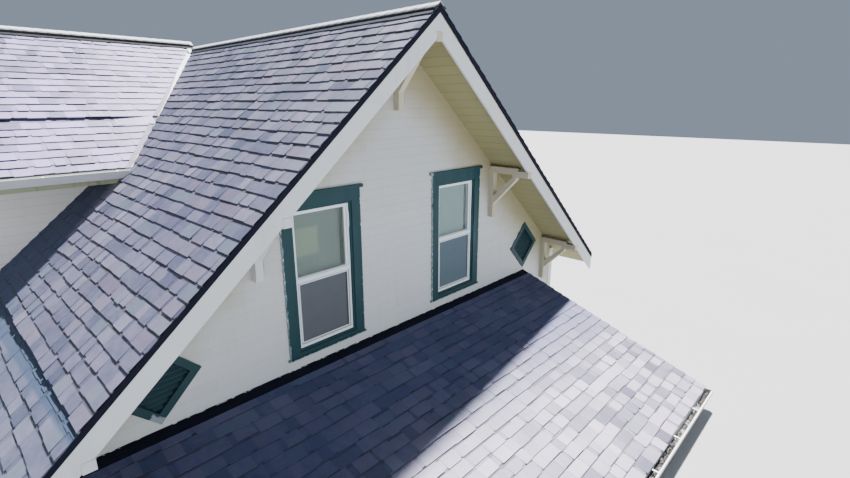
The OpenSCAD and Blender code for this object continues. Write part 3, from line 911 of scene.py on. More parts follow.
def lay_shingles(shape, surface, width, height, regions, seed, sizes, marks):
    """Lays courses of shingles from v = 0 up, over a strip that shows between the tabs.

    marks says how dark the strip is between the tabs, the painted shade line above each tab under
    the next course's butt and the tab's lower edge, how much the tabs differ, and how dark most
    lines are beside the darkest.
    """
    gap, line, butt_mark, spread, faint = marks
    chance = random.Random(seed)
    set_back, top = 0.007, 0.003
    strip = sizes.tab_height - 0.003
    for course in range(math.ceil(height / sizes.exposure)):
        low = course * sizes.exposure
        high = min(low + sizes.exposure + LAP, height)
        ends = (low, high)
        u = -chance.uniform(0.0, 0.6)
        while u < width:
            length = 0.9 + chance.uniform(-0.1, 0.1)
            tone = chance.uniform(0.28, 0.5)
            parts = fitted(rectangle(u, low + set_back, u + length - 0.001, high), regions)
            lay(shape, surface, parts, ends, (strip, top), tone)
            dark_foot = high - LAP - chance.uniform(0.015, 0.035)
            if dark_foot > low + set_back:
                parts = fitted(rectangle(u, dark_foot, u + length - 0.001, high), regions)
                lift = 0.0008
                lay(shape, surface, parts, ends, (strip + lift, top + lift), 0.3, gap)
            u += length
        u = -chance.uniform(0.0, 0.3)
        while u < width:
            length = chance.uniform(sizes.tab_least, sizes.tab_most)
            wave = 0.004 * math.sin(2.3 * u + 1.7 * course) + 0.003 * math.sin(5.1 * u - course)
            butt = low + wave - chance.choice((0.0, 0.0, 0.003, 0.006, 0.010))
            tone = min(1.0, max(0.0, chance.gauss(0.58, spread)))
            deep, thick = faint, sizes.tab_height + chance.uniform(-0.001, 0.001)
            if chance.random() < 0.3:
                deep, thick = 1.0, thick + 0.003
            parts = fitted(rectangle(u, butt, u + length, high), regions)
            foot = butt_mark * deep
            lay(shape, surface, parts, ends, (thick, top), tone, foot_mark=foot)
            # A painted shade line at the tab's top, just under the next course's butt.
            line_foot = high - LAP - chance.uniform(0.004, 0.013)
            parts = fitted(rectangle(u, line_foot, u + length, high - LAP + 0.003), regions)
            lift = 0.0006
            lay(shape, surface, parts, ends, (thick + lift, top + lift), tone, line * deep)
            u += length + (chance.uniform(0.02, 0.07) if chance.random() < 0.5 else 0.0005)


def shingle_piece(name, material, sizes, marks, *slope):
    """The shingles of one slope, given by its surface, width, height, regions and seed."""
    shape = Shape()
    lay_shingles(shape, *slope, sizes, marks)
    shape.piece(name, material, "shingles")


def lay_siding(shape, surface, width, height, regions, seed, sizes, cutters=()):
    """Lays lapped siding boards with a few butt joints in each course."""
    chance = random.Random(seed)
    top, lift = 0.002, 0.0004
    for course in range(math.ceil(height / sizes.siding_course)):
        low = course * sizes.siding_course
        high = min(low + sizes.siding_course + LAP, height)
        u = -chance.uniform(0.0, 3.0)
        while u < width:
            length = chance.uniform(2.4, 4.9)
            butt = sizes.siding_butt + chance.uniform(-0.0015, 0.0015)
            tone = chance.random()
            end = u + length - 0.0015
            parts = fitted(rectangle(u, low, end, high), regions, cutters)
            # The butt faces are marked dark, partly grime and partly painted shade.
            lay(shape, surface, parts, (low, high), (butt, top), tone)
            # A dark line just under the next course's butt, partly grime and partly painted shade.
            line = rectangle(u, high - LAP - 0.009, end, high - LAP + 0.004)
            parts = fitted(line, regions, cutters)
            lay(shape, surface, parts, (low, high), (butt + lift, top + lift), tone, 0.35)
            u += length


def siding_piece(name, paint, sizes, *walls, cutters=()):
    """The siding of walls, each given by its face, width, height, region and seed."""
    shape = Shape()
    for face, width, height, region, seed in walls:
        lay_siding(shape, face, width, height, region, seed, sizes, cutters)
    shape.piece(name, paint, "grey_siding")


class DORMER_OT_walls(Operator):
    """Lays the siding and corner boards, and finishes the walls behind them"""

    bl_idname = "dormer.walls"
    bl_label = "Walls and siding"

    def execute(self, context):
        sizes, colours = context.scene.dormer_sizes, context.scene.dormer_colours
        # The inner faces are painted dark as shade, so the rooms seen through the windows look
        # dark.
        inner = plaster_finish("bare inner wall", (0.11, 0.09, 0.07))
        party = plaster_finish("party wall render", (0.52, 0.52, 0.49))
        finish(inner, 0.0, "gable_wall", "left_wall", "right_wall", "side_roof_front_wall")
        finish(inner, 0.0, "lower_front_wall", "lower_left_wall", "lower_right_wall")
        finish(party, 0.0, "back_wall", "side_roof_end_wall")
        rake_shaded = paint_finish("gable siding paint", colours.siding, 0.16, board_tone=0.16, cream=1.0)
        self.gable(sizes, rake_shaded)
        paint = paint_finish("siding paint", (0.75, 0.74, 0.74), 0.16, board_tone=0.16)
        self.side_walls(sizes, paint)
        self.lower_walls(sizes, paint)
        self.corner_boards(paint_finish("corner board paint", colours.trim, 0.2))
        return {"FINISHED"}

    def gable(self, sizes, paint):
        """The siding of the gable wall, cut round the windows, the vents and the lower roof."""
        wide = WALL_X - 0.088
        under = DECK_DOWN + 0.021
        eave = rake_z(wide) - under
        top = (0.0, RIDGE_Z - under)
        outlines = [[(-wide, 0.0), (wide, 0.0), (wide, eave), top, (-wide, eave)]]
        hidden = 0.012
        bottom, top = CASING_LOW.z + hidden, CASING_HIGH.z - hidden
        for x in (-WINDOW_X, WINDOW_X):
            left, right = x - CASING_OUTER + hidden, x + CASING_OUTER - hidden
            outlines.append(rectangle(left, bottom, right, top))
        half = VENT_HALF - hidden
        for x in (-VENT_X, VENT_X):
            corners = ((0, -half), (half, 0), (0, half), (-half, 0))
            outlines.append([(x + u, VENT_Z + v) for u, v in corners])
        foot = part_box("wall_flashing")[1].z - 0.004
        outlines.append(rectangle(-LOWER_LEFT - 0.2, -0.1, LOWER_RIGHT + 0.004, foot))
        region, *cutters = [[(u + wide, v) for u, v in outline] for outline in outlines]
        wall = (wall_face(-wide, WALL_FACE), 2 * wide, RIDGE_Z, [region], 11)
        siding_piece("gable_siding", paint, sizes, wall, cutters=cutters)

    def side_walls(self, sizes, paint):
        """The siding of the walls at the right, at the left and under the side roof."""
        corner = 0.02
        length = BACK_Y - WALL_FACE - corner
        top = deck_z(WALL_X) - DECK_UP - DECK_DOWN
        region = rectangle(corner, 0.0, length, top)
        wall = (wall_face(WALL_X, WALL_FACE, side=1), length, top, [region], 12)
        siding_piece("right_wall_siding", paint, sizes, wall)

        length = SIDE_WALL_Y - WALL_FACE
        low = top - STRIP_DROP - STRIP_FALL
        region = [(corner, 0.0), (length, 0.0), (length, low), (corner, top - STRIP_DROP)]
        wall = (wall_face(-WALL_X, WALL_FACE, side=-1), length, top, [region], 13)
        siding_piece("left_wall_siding", paint, sizes, wall)

        box_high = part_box("side_roof_front_wall")[1]
        foot = deck_z(WALL_X) - 0.06
        width, high = WALL_X + box_high.x, box_high.z - foot
        rise = 0.012
        step = WALL_X - STEP_X
        end = min(width, step + (high - deck_z(STEP_X) + foot - rise) / PITCH)
        low_end = deck_z(STEP_X) - STRIP_FALL - foot + rise
        line_end = deck_z(WALL_X - end) - foot + rise
        regions = [
            [(0.0, rise), (step, low_end), (step, high), (0.0, high)],
            [(step, deck_z(STEP_X) - foot + rise), (end, line_end), (end, high), (step, high)],
        ]
        wall = (wall_face(-WALL_X, SIDE_WALL_Y, foot), width, high, regions, 14)
        siding_piece("side_roof_wall_siding", paint, sizes, wall)

    def lower_walls(self, sizes, paint):
        """The siding of the low walls under the lower roof."""
        corner = 0.02
        low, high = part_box("lower_front_wall")
        width, length = high.x - low.x, WALL_FACE - low.y
        top, rear = lower_z(low.y) - LOWER_THICK, LOWER_TOP_Z - LOWER_THICK
        region = rectangle(corner, 0.0, width - corner, top)
        walls = [(wall_face(low.x, low.y), width, top, [region], 15)]
        region = [(corner, 0.0), (length, 0.0), (length, rear), (corner, top)]
        for side, edge, seed in ((-1, low.x, 15), (1, high.x, 17)):
            walls.append((wall_face(edge, low.y, side=side), length, rear, [region], seed))
        siding_piece("lower_wall_siding", paint, sizes, *walls)

    def corner_boards(self, trim):
        """The white boards that cover the siding's ends at the corners."""
        shape = Shape()
        width, thick = 0.09, 0.018

        def corner(x, y, side, front_top, top):
            ends = sorted((x - side * width, x + side * thick))
            shape.board((ends[0], y - thick, 0.0), (ends[1], y, front_top))
            ends = sorted((x, x + side * thick))
            shape.board((ends[0], y, 0.0), (ends[1], y + width, top))

        top = rake_z(WALL_X) - DECK_DOWN - 0.024
        for side in (-1, 1):
            corner(side * WALL_X, WALL_FACE, side, top, top)
        shape.board((WALL_X, BACK_Y - width, 0.0), (WALL_X + thick, BACK_Y, top))
        low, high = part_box("lower_front_wall")
        top = lower_z(low.y) - 0.112
        for x, side in ((low.x, -1), (high.x, 1)):
            corner(x, low.y, side, top - 0.006, top)
        shape.piece("corner_boards", trim, "white_trim")


class DORMER_OT_roofs(Operator):
    """Lays the shingles of every slope and the ridge caps"""

    bl_idname = "dormer.roofs"
    bl_label = "Shingles and ridge caps"

    def execute(self, context):
        sizes, colours = context.scene.dormer_sizes, context.scene.dormer_colours
        across = slab_finish("roof boards across", colours, "X")
        finish(across, 0.0, "roof_left", "roof_right", "roof_left_low_strip")
        level = slab_finish("roof boards level", colours, "Y")
        finish(level, 0.0, "side_roof", "lower_roof")
        # Painted shade on the left slope under the side eave, painted shadow beside the low strip's
        # step, and painted shade below the gable on the lower roof.
        shade_by_wall = (3.64, 3.88, VALLEY_X, 0.5, 0.92, (0.0, 0.020, 0.078))
        shadow_by_step = (-117.0, -116.0, -9.0, -33.0, 0.85, (0.004, 0.020, 0.070))
        shade_by_gable = (-2.0, -0.9, -9.0, 0.0, 0.44, (0.010, 0.040, 0.17))
        # Painted sunlight: a paler colour over the whole side roof, and on the lower roof in front
        # of the gable's shadow.
        side_painted_sun = (-9.0, -8.0, (0.30, 0.25, 0.50))
        lower_painted_sun = (1.3, 2.0, (0.46, 0.42, 0.50))
        plain, greenish = (0.98, 0.95, 1.0, 1.0), (0.72, 0.89, 0.95, 1.0)
        lavender, pinkish = (0.68, 0.60, 0.90, 1.0), (0.95, 0.885, 1.0, 1.0)
        slopes = shingle_finish("slope shingles", colours, plain, shade_by_wall)
        strip = shingle_finish("strip shingles", colours, greenish, shadow_by_step)
        self.main_slopes(sizes, slopes, strip)
        shingles = shingle_finish("mineral shingles", colours, lavender, painted_sun=side_painted_sun)
        self.side_slope(sizes, shingles)
        darkening = shingle_finish("damp shingles", colours, pinkish, shade_by_gable, lower_painted_sun)
        self.lower_slope(sizes, darkening)
        self.ridge_caps(sizes)
        return {"FINISHED"}

    def main_slopes(self, sizes, shingles, strip_shingles):
        """The right slope, the left slope up to the valley and the low strip."""
        front = DECK_FACE - 0.006
        foot = EAVE_X - 0.0225
        under_foot = -0.012
        width, height = BACK_Y - front, foot * SLOPE
        regions = [rectangle(0.0, under_foot, width, height)]
        slope = (main_face(foot, front), width, height, regions)
        shingle_piece("shingles_right", shingles, sizes, LEFT_MARKS, *slope, 21)

        height = STEP_X * SLOPE
        bend = (STEP_X - VALLEY_X) * SLOPE
        clear = 0.016
        wall = SIDE_WALL_Y - front - 0.003
        start = SIDE_EAVE.y - front - clear * VALLEY_RUN / VALLEY_X
        regions = [
            rectangle(0.0, under_foot, wall, bend),
            [(0.0, bend), (start, bend), (start + VALLEY_RUN, height), (0.0, height)],
        ]
        slope = (main_face(STEP_X, front, side=-1), VALLEY_TOP_Y - front, height, regions)
        shingle_piece("shingles_left", shingles, sizes, LEFT_MARKS, *slope, 22)

        tilt = STRIP_FALL / (SIDE_WALL_Y - DECK_FACE)
        surface = main_face(foot, front, tilt, STRIP_DROP, side=-1)
        height = (foot - STEP_X) * SLOPE
        slope = (surface, 4.2, height, [rectangle(0.0, under_foot, wall, height)])
        shingle_piece("shingles_low_strip", strip_shingles, sizes, LEFT_MARKS, *slope, 23)

    def side_slope(self, sizes, shingles):
        """The side roof, whose upper courses stand out over the flatter lower ones."""
        clear, below = 0.075, 0.03
        lean = VALLEY_X / (VALLEY_RUN * SIDE_SLOPE)
        corner = WALL_X - VALLEY_X - clear
        run = SIDE_BREAK_Y - SIDE_EAVE.y
        flat = Vector((0.0, run, run * SIDE_PITCH - SIDE_BREAK_DROP))
        surface = Surface(SIDE_EAVE, (1, 0, 0), flat)
        height = flat.length - 0.001
        end = corner + lean * height
        region = [(0.0, -below), (corner - lean * below, -below), (end, height), (0.0, height)]
        shape = Shape()
        lay_shingles(shape, surface, WALL_X, height, [region], 24, sizes, SIDE_MARKS)
        self.break_fill(shape, surface, end, height)

        start_y = SIDE_BREAK_Y - 0.012
        surface = Surface((SIDE_EAVE.x, start_y, side_z(start_y)), (1, 0, 0), (0, 1, SIDE_PITCH))
        start = (start_y - SIDE_EAVE.y) * SIDE_SLOPE
        height = (SIDE_RIDGE_Y - start_y) * SIDE_SLOPE
        top = (VALLEY_TOP_Y - start_y) * SIDE_SLOPE
        foot, head = corner + lean * (start - below), corner + lean * (start + top)
        regions = [
            [(0.0, -below), (foot, -below), (head, top), (0.0, top)],
            rectangle(0.0, top, WALL_X, height),
        ]
        lay_shingles(shape, surface, WALL_X + 0.2, height, regions, 25, sizes, SIDE_MARKS)
        shape.piece("shingles_side_roof", shingles, "shingles")

        foot_y = BACK_Y - 0.012
        surface = Surface((-WALL_X, foot_y, side_z(foot_y)), (1, 0, 0), (0, -1, SIDE_PITCH))
        height = (foot_y - SIDE_RIDGE_Y) * SIDE_SLOPE
        slope = (surface, WALL_X, height, [rectangle(0.0, 0.0, WALL_X, height)], 26)
        shingle_piece("shingles_behind_side_ridge", shingles, sizes, SIDE_MARKS, *slope)

    def break_fill(self, shape, surface, end, height):
        """Thick shingles beside the valley, where the line across the side roof fades."""
        chance = random.Random(29)
        span, reach, count = 0.50, 0.17, 8
        step = (span - 0.02) / count
        for number in range(count):
            u = end - span + step * number
            foot = height - reach + chance.uniform(0.0, 0.02)
            parts = [rectangle(u, foot, u + step, height)]
            thick = (0.0155, 0.006 + 0.030 * (number + 1) / count)
            tone = chance.uniform(0.45, 0.65)
            lay(shape, surface, parts, (foot, height), thick, tone, foot_mark=0.2)

    def lower_slope(self, sizes, shingles):
        """The lower roof, from over its gutter up to the flashing on the gable wall."""
        side, foot_y = 0.006, LOWER_EAVE_Y - 0.018
        foot = (-LOWER_LEFT - side, foot_y, lower_z(foot_y))
        surface = Surface(foot, (1, 0, 0), (0, 1, LOWER_PITCH))
        width = LOWER_LEFT + LOWER_RIGHT + 2 * side
        height = (WALL_FACE - 0.075 - foot_y) * LOWER_SLOPE
        slope = (surface, width, height, [rectangle(0.0, -0.02, width, height)], 27)
        shingle_piece("shingles_lower_roof", shingles, sizes, LOWER_MARKS, *slope)

    def ridge_caps(self, sizes):
        """Low dark vent strips along the ridges, under cap shingles that lap backwards."""
        chance = random.Random(31)
        vent, pale, flap_shade_paint = vent_strip_finish(), cap_finish(), shaded_flap_finish()
        lap = 0.03
        main_top = RIDGE_Z + DECK_UP
        side_top = side_z(SIDE_RIDGE_Y)

        def on_main(out, z, at, side):
            return Vector((side * out, at, main_top + z))

        def on_side(out, z, at, side):
            return Vector((at, SIDE_RIDGE_Y + side * out, side_top + z))

        main_ends = (DECK_FACE - 0.004, SIDE_RIDGE_Y - CAP_REACH)
        side_ends = (-WALL_X + 0.001, -0.001)
        runs = (
            ("ridge_cap", on_main, PITCH, CAP_HIGH, main_ends, 1.0),
            ("side_ridge_cap", on_side, SIDE_PITCH, SIDE_CAP_HIGH, side_ends, 0.0),
        )
        for node, place, pitch, top, (start, end), flap_shade_tone in runs:
            caps, strip, flaps = Shape(), Shape(), Shape()
            at = start
            while at < end - SHORT_CAP:
                far = min(at + sizes.exposure + lap, end)
                tone = chance.uniform(0.75, 1.0)
                for side in (-1, 1):
                    self.cap_wing(caps, place, top, (at, far), side, tone)
                at += sizes.exposure
            for side in (-1, 1):
                self.vent_side(strip, place, pitch, top, (start + 0.004, end), side)
                self.cap_flaps(flaps, place, pitch, (start + 0.006, end), side, flap_shade_tone)
            flaps.piece(f"{node}_flaps", flap_shade_paint, "shingles")
            caps.piece(f"{node}_shingles", pale, "shingles", (node,))
            strip.piece(f"{node}_vent_strip", vent, "dark_metal")

    def cap_wing(self, shape, place, top, ends, side, tone):
        """Half of one cap shingle, on one side of the ridge."""
        reach, thick = CAP_REACH + 0.004, 0.008
        near, far = (
            [place(0.0, top + lift, at, side), place(reach, top - CAP_FALL + lift, at, side)]
            for at, lift in zip(ends, (0.0, -0.0045))
        )
        upper = [near[0], near[1], far[1], far[0]]
        lower = [corner - Vector((0.0, 0.0, thick)) for corner in upper]
        shape.slab(lower, upper, tone, [0.8, 0.0, 0.0, 0.0])

    def bar(self, shape, place, section, ends, side, tone):
        """A straight length of one section along a ridge."""
        low, high = ([place(out, z, at, side) for out, z in section] for at in ends)
        shape.slab(low, high, tone)

    def cap_flaps(self, shape, place, pitch, ends, side, tone):
        """The caps' flaps on the slope under one side of a vent strip, whose dark colour is painted
        shade.
        """
        chance = random.Random(37)
        inner, outer = CAP_REACH - 0.010, CAP_REACH + 0.058
        at = ends[0]
        while at < ends[1] - SHORT_CAP:
            far = min(at + chance.uniform(0.20, 0.34), ends[1])
            edge = outer + chance.uniform(-0.006, 0.006)
            lift = chance.uniform(0.0, 0.002)
            section = [
                (inner, 0.003 - pitch * inner),
                (inner, 0.022 + lift - pitch * inner),
                (edge, 0.025 + lift - pitch * edge),
                (edge, 0.003 - pitch * edge),
            ]
            self.bar(shape, place, section, (at, far - 0.002), side, tone)
            at = far

    def vent_side(self, shape, place, pitch, cap_top, ends, side):
        """One side of a vent strip, with a row of ribs."""
        reach = CAP_REACH - 0.008
        top = cap_top - CAP_FALL - 0.005
        foot = -pitch * reach
        section = [(0.0, 0.0), (0.0, cap_top - 0.009), (reach, top), (reach, foot)]
        self.bar(shape, place, section, ends, side, 0.5)
        rim = reach + 0.005
        for part in (0.3, 0.55, 0.8):
            z = foot + part * (top - foot)
            section = [(reach, z), (rim, z - 0.002), (rim, z + 0.003), (reach, z + 0.005)]
            self.bar(shape, place, section, ends, side, 0.8)


class DORMER_OT_eaves(Operator):
    """Paints the barge boards, soffit, fascias and brackets, and finishes the sheet metal"""

    bl_idname = "dormer.eaves"
    bl_label = "Eaves and brackets"

    def execute(self, context):
        colours = context.scene.dormer_colours
        trim = paint_finish("trim paint", colours.trim, 0.26)
        finish(trim, 0.004, "barge_board_left", "barge_board_right")
        finish(trim, 0.005, "mid_bracket_left", "eave_bracket_left")
        finish(trim, 0.002, "eave_fascia_left", "eave_fascia_right", "lower_roof_fascia")
        cream = paint_finish("bracket paint", (0.46, 0.43, 0.33), 0.26)
        finish(cream, 0.005, "ridge_bracket", "mid_bracket_right", "eave_bracket_right")
        # The side fascia's dark olive is partly moss and partly painted shade under the gutter.
        moss_and_shade = paint_finish("mossy fascia paint", (0.27, 0.29, 0.19), 1.0, (0.08, 0.10, 0.04))
        finish(moss_and_shade, 0.002, "side_roof_fascia")
        finish(soffit_finish(colours), 0.0, "gable_soffit")
        dark = metal_finish("dark flashing", (0.008, 0.009, 0.020), rough=0.7, shine=0.12)
        finish(dark, 0.0, "rake_drip_edge", "wall_flashing")
        pale = valley_finish()
        finish(pale, 0.0, "valley_flashing")
        self.lower_edge_metal()
        self.valley_head(pale)
        return {"FINISHED"}

    def lower_edge_metal(self):
        """Thin white sheet metal on the lower roof's side edges."""
        shape = Shape()
        foot = (0.0, LOWER_EAVE_Y, lower_z(LOWER_EAVE_Y))
        slant = Surface(foot, (1, 0, 0), (0, 1, LOWER_PITCH))
        length = (WALL_FACE - 0.01 - LOWER_EAVE_Y) * LOWER_SLOPE
        for edge, side in ((LOWER_RIGHT, 1), (-LOWER_LEFT, -1)):
            for thick, low, high in ((0.004, -0.075, 0.002), (0.010, -0.079, -0.073)):
                left, right = sorted((edge, edge + side * thick))
                corners = (left, -0.015, low), (right, length, high)
                shape.board(*corners, 0.001, lambda p: slant.point(*p))
        white = metal_finish("white edge metal", (0.66, 0.68, 0.68), rust=0.15)
        shape.piece("lower_roof_edge_metal", white, "white_metal")

    def valley_head(self, pale):
        """The sheet at the valley's head, which laps up to the side ridge."""
        shape = Shape()
        surface = Surface((0.0, 0.0, side_z(0.0)), (1, 0, 0), (0, 1, SIDE_PITCH))
        plan = [(-0.155, 4.930), (-0.050, 5.020), (-0.050, 5.105), (-0.125, 5.105)]
        low, high = (
            [surface.point(x, y * SIDE_SLOPE, height) for x, y in plan]
            for height in (0.012, 0.0185)
        )
        shape.slab(low, high, 0.9)
        shape.piece("valley_head", pale, "pale_metal")


def pane_border(shape, across, heights, depths, width, right_width, bevel):
    """Four narrow boards round a pane, with a width of its own for the right one."""
    (left, right), (low, high), (front, back) = across, heights, depths
    inner_left, inner_right = left + width, right - right_width
    shape.board((left, front, low), (inner_left, back, high), bevel)
    shape.board((inner_right, front, low), (right, back, high), bevel)
    shape.board((inner_left, front, low), (inner_right, back, low + width), bevel)
    shape.board((inner_left, front, high - width), (inner_right, back, high), bevel)


class DORMER_OT_windows(Operator):
    """Finishes the casings, frames, sashes, glass and blinds, and adds the insect screens"""

    bl_idname = "dormer.windows"
    bl_label = "Windows"

    def execute(self, context):
        colours = context.scene.dormer_colours
        white = paint_finish("window paint", (0.74, 0.83, 0.87), 0.2, gloss=0.38)
        finish(casing_finish(colours), 0.003, "window_casing_left", "window_casing_right")
        finish(white, 0.003, "window_frame_left", "window_frame_right")
        finish(white, 0.002, "lower_sash_left", "lower_sash_right")
        finish(glass_finish(), 0.0, "window_glass_left", "window_glass_right")
        finish(blind_finish(), 0.0, "window_blinds")
        finish(floorboard_finish(), 0.0, "attic_floor")
        self.beads(white)
        self.screens(white)
        self.paint_marks()
        return {"FINISHED"}

    def beads(self, white):
        """The upper sashes' narrow stiles and stops, small sash lifts and one white catch."""
        shape = Shape()
        face = FRAME_LOW.y
        depths = (face + 0.012, face + 0.024)
        heights = (RAIL_Z + 0.0225, FRAME_HIGH.z - 0.026)
        for middle in (-WINDOW_X, WINDOW_X):
            across = (middle - SASH_HALF, middle + SASH_HALF)
            pane_border(shape, across, heights, depths, 0.012, 0.028, 0.003)
            lift_low = (middle - 0.03, face - 0.004, RAIL_Z - 0.004)
            shape.board(lift_low, (middle + 0.03, face, RAIL_Z + 0.012), 0.0015)
        edge = SASH_HALF - WINDOW_X
        shape.board((edge, face - 0.006, 2.641), (edge + 0.044, face, 2.806), 0.002)
        shape.piece("sash_stiles", white, "white_frame")

    def screens(self, white):
        """Insect screens in front of the lower sashes, with dark seals round them."""
        rim, net, seal = Shape(), Shape(), Shape()
        inner = SASH_HALF - 0.010
        width = 0.013
        front, back = FRAME_LOW.y + 0.004, FRAME_LOW.y + 0.015
        seal_front, deep = back - 0.004, FRAME_LOW.y + 0.0195
        low, high = FRAME_LOW.z + 0.044, RAIL_Z - 0.030
        for middle in (-WINDOW_X, WINDOW_X):
            left, right = middle - inner, middle + inner
            pane_border(rim, (left, right), (low, high), (front, back), width, width, 0.002)
            net_low = (left + width, front + 0.005, low + width)
            net.board(net_low, (right - width, front + 0.0065, high - width), 0.0002)
            for side in (-1, 1):
                ends = sorted((middle + side * inner, middle + side * SASH_HALF))
                seal_low = (ends[0], seal_front, low - 0.008)
                seal.board(seal_low, (ends[1], deep, high + 0.006), 0.001)
            edge = right - width
            seal_low = (edge - 0.020, front + 0.002, low + width)
            seal.board(seal_low, (edge, back, high - width), 0.001)
            seal.board((left, seal_front, high), (right, deep, high + 0.0065), 0.001)
            seal.board((left, seal_front, low - 0.009), (right, deep, low), 0.001)
        rim.piece("screen_rims", white, "white_frame")
        net.piece("screen_nets", screen_finish(), "dark_metal")
        dark = metal_finish("window seals", (0.05, 0.055, 0.06), rough=0.7)
        seal.piece("screen_seals", dark, "dark_metal")

    def paint_marks(self):
        """Small ragged dabs of white wall paint on the casings' edges and over the flashing."""
        chance = random.Random(51)
        shape = Shape()
        white = paint_finish("dabs of wall paint", (0.62, 0.65, 0.65), 0.1)

        def dab(x, z, y, width, height):
            corners, count = [], 7
            for step in range(count):
                turn = 2 * math.pi * step / count + chance.uniform(-0.3, 0.3)
                reach = 0.5 * chance.uniform(0.6, 1.0)
                corners.append(
                    (x + width * reach * math.cos(turn), z + height * reach * math.sin(turn))
                )
            back, face = ([Vector((u, y - h, v)) for u, v in corners] for h in (0.0, 0.0012))
            shape.slab(back, face, 0.2)

        for middle in (-WINDOW_X, WINDOW_X):
            for edge, count in ((-CASING_OUTER, 12), (CASING_OUTER, 9)):
                for _ in range(count):
                    shift = -math.copysign(chance.uniform(0.001, 0.009), edge)
                    z = chance.uniform(CASING_LOW.z + 0.04, CASING_HIGH.z - 0.06)
                    size = chance.uniform(0.004, 0.012), chance.uniform(0.01, 0.05)
                    dab(middle + edge + shift, z, WALL_FACE - 0.025, *size)
        low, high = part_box("wall_flashing")
        for _ in range(90):
            x = chance.uniform(low.x + 0.1, high.x - 0.1)
            z = high.z - chance.uniform(0.0, 0.010)
            size = chance.uniform(0.01, 0.07), chance.uniform(0.006, 0.014)
            dab(x, z, WALL_FACE - 0.008, *size)
        shape.piece("paint_dabs", white, "grey_siding")


class DORMER_OT_vents(Operator):
    """Finishes the diamond vents and adds their slats"""

    bl_idname = "dormer.vents"
    bl_label = "Diamond vents"

    def execute(self, context):
        paint = vent_finish(context.scene.dormer_colours)
        finish(paint, 0.003, "vent_left", "vent_right")
        shape = Shape()
        pitch, thick, lean, margin = 0.048, 0.007, 0.030, 0.03
        front, back = WALL_FACE + 0.002, WALL_FACE + 0.040
        for middle in (-VENT_X, VENT_X):
            z = VENT_Z - VENT_HOLE + margin
            while z < VENT_Z + VENT_HOLE - margin:
                half_low = VENT_HOLE - abs(z - VENT_Z)
                half_high = VENT_HOLE - abs(z + lean - VENT_Z)
                low = [
                    Vector((middle - half_low, front, z)),
                    Vector((middle + half_low, front, z)),
                    Vector((middle + half_high, back, z + lean)),
                    Vector((middle - half_high, back, z + lean)),
                ]
                shape.slab(low, [corner + Vector((0.0, 0.0, thick)) for corner in low])
                z += pitch
        shape.piece("vent_slats", paint, "teal_paint")
        return {"FINISHED"}


class DORMER_OT_gutters(Operator):
    """Finishes the gutters and adds their straps and the litter in them"""

    bl_idname = "dormer.gutters"
    bl_label = "Gutters"

    def execute(self, context):
        sizes = context.scene.dormer_sizes
        white = gutter_finish()
        shape = Shape()
        first, clear, strap_width, rim_depth = 0.2, 0.1, 0.022, 0.019
        for node in ("lower_roof_gutter", "side_roof_gutter"):
            finish(white, 0.0015, node)
            low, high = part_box(node)
            x = low.x + first
            while x < high.x - clear:
                strap_low = (x, low.y + 0.001, high.z - 0.007)
                shape.board(strap_low, (x + strap_width, high.y, high.z - 0.003), 0.001)
                x += sizes.strap_spacing
            rim_high = (high.x - 0.02, low.y + rim_depth, high.z - 0.0005)
            shape.board((low.x, low.y, high.z - 0.012), rim_high, 0.003)
        shape.piece("gutter_straps", white, "white_metal")
        self.litter(sizes)
        return {"FINISHED"}

    def litter(self, sizes):
        """Needles, leaves and silt that lie in the lower gutter."""
        chance = random.Random(61)
        shape = Shape()
        low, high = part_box("lower_roof_gutter")
        left, right = low.x + 0.01, high.x - 0.01
        back, front = high.y - 0.008, high.y - 0.070
        steps = 160
        rows = []
        for step in range(steps + 1):
            x = left + (right - left) * step / steps
            level = low.z + 0.030 + 0.020 * math.sin(1.7 * x) * math.sin(0.9 * x + 1.0)
            rows.append([
                Vector((x, front, level - 0.008 + chance.uniform(-0.004, 0.004))),
                Vector((x, (front + back) / 2, level + chance.uniform(-0.004, 0.006))),
                Vector((x, back, level + 0.006 + chance.uniform(-0.004, 0.004))),
            ])
        for near, far in zip(rows, rows[1:]):
            for i in (0, 1):
                shape.face([near[i], far[i], far[i + 1]], chance.uniform(0.0, 0.35))
                shape.face([near[i], far[i + 1], near[i + 1]], chance.uniform(0.0, 0.35))
        for _ in range(sizes.litter_count):
            x, y = chance.uniform(left, right), chance.uniform(front + 0.012, back - 0.012)
            middle = Vector((x, y, low.z + 0.042 + chance.uniform(-0.012, 0.026)))
            turn = chance.uniform(0, math.pi)
            along = Vector((math.cos(turn), 0.35 * math.sin(turn), chance.uniform(-0.4, 0.4)))
            along.normalize()
            side = along.cross(Vector((0, 0, 1))).normalized()
            length, width = chance.uniform(0.008, 0.030), chance.uniform(0.001, 0.005)
            near, far, side = middle - length * along, middle + length * along, width * side
            tone = chance.choice((0.1, 0.3, 0.6, 0.95))
            shape.face([near - side, far - side, far + side, near + side], tone)
        shape.piece("gutter_litter", litter_finish(), "floor_boards")


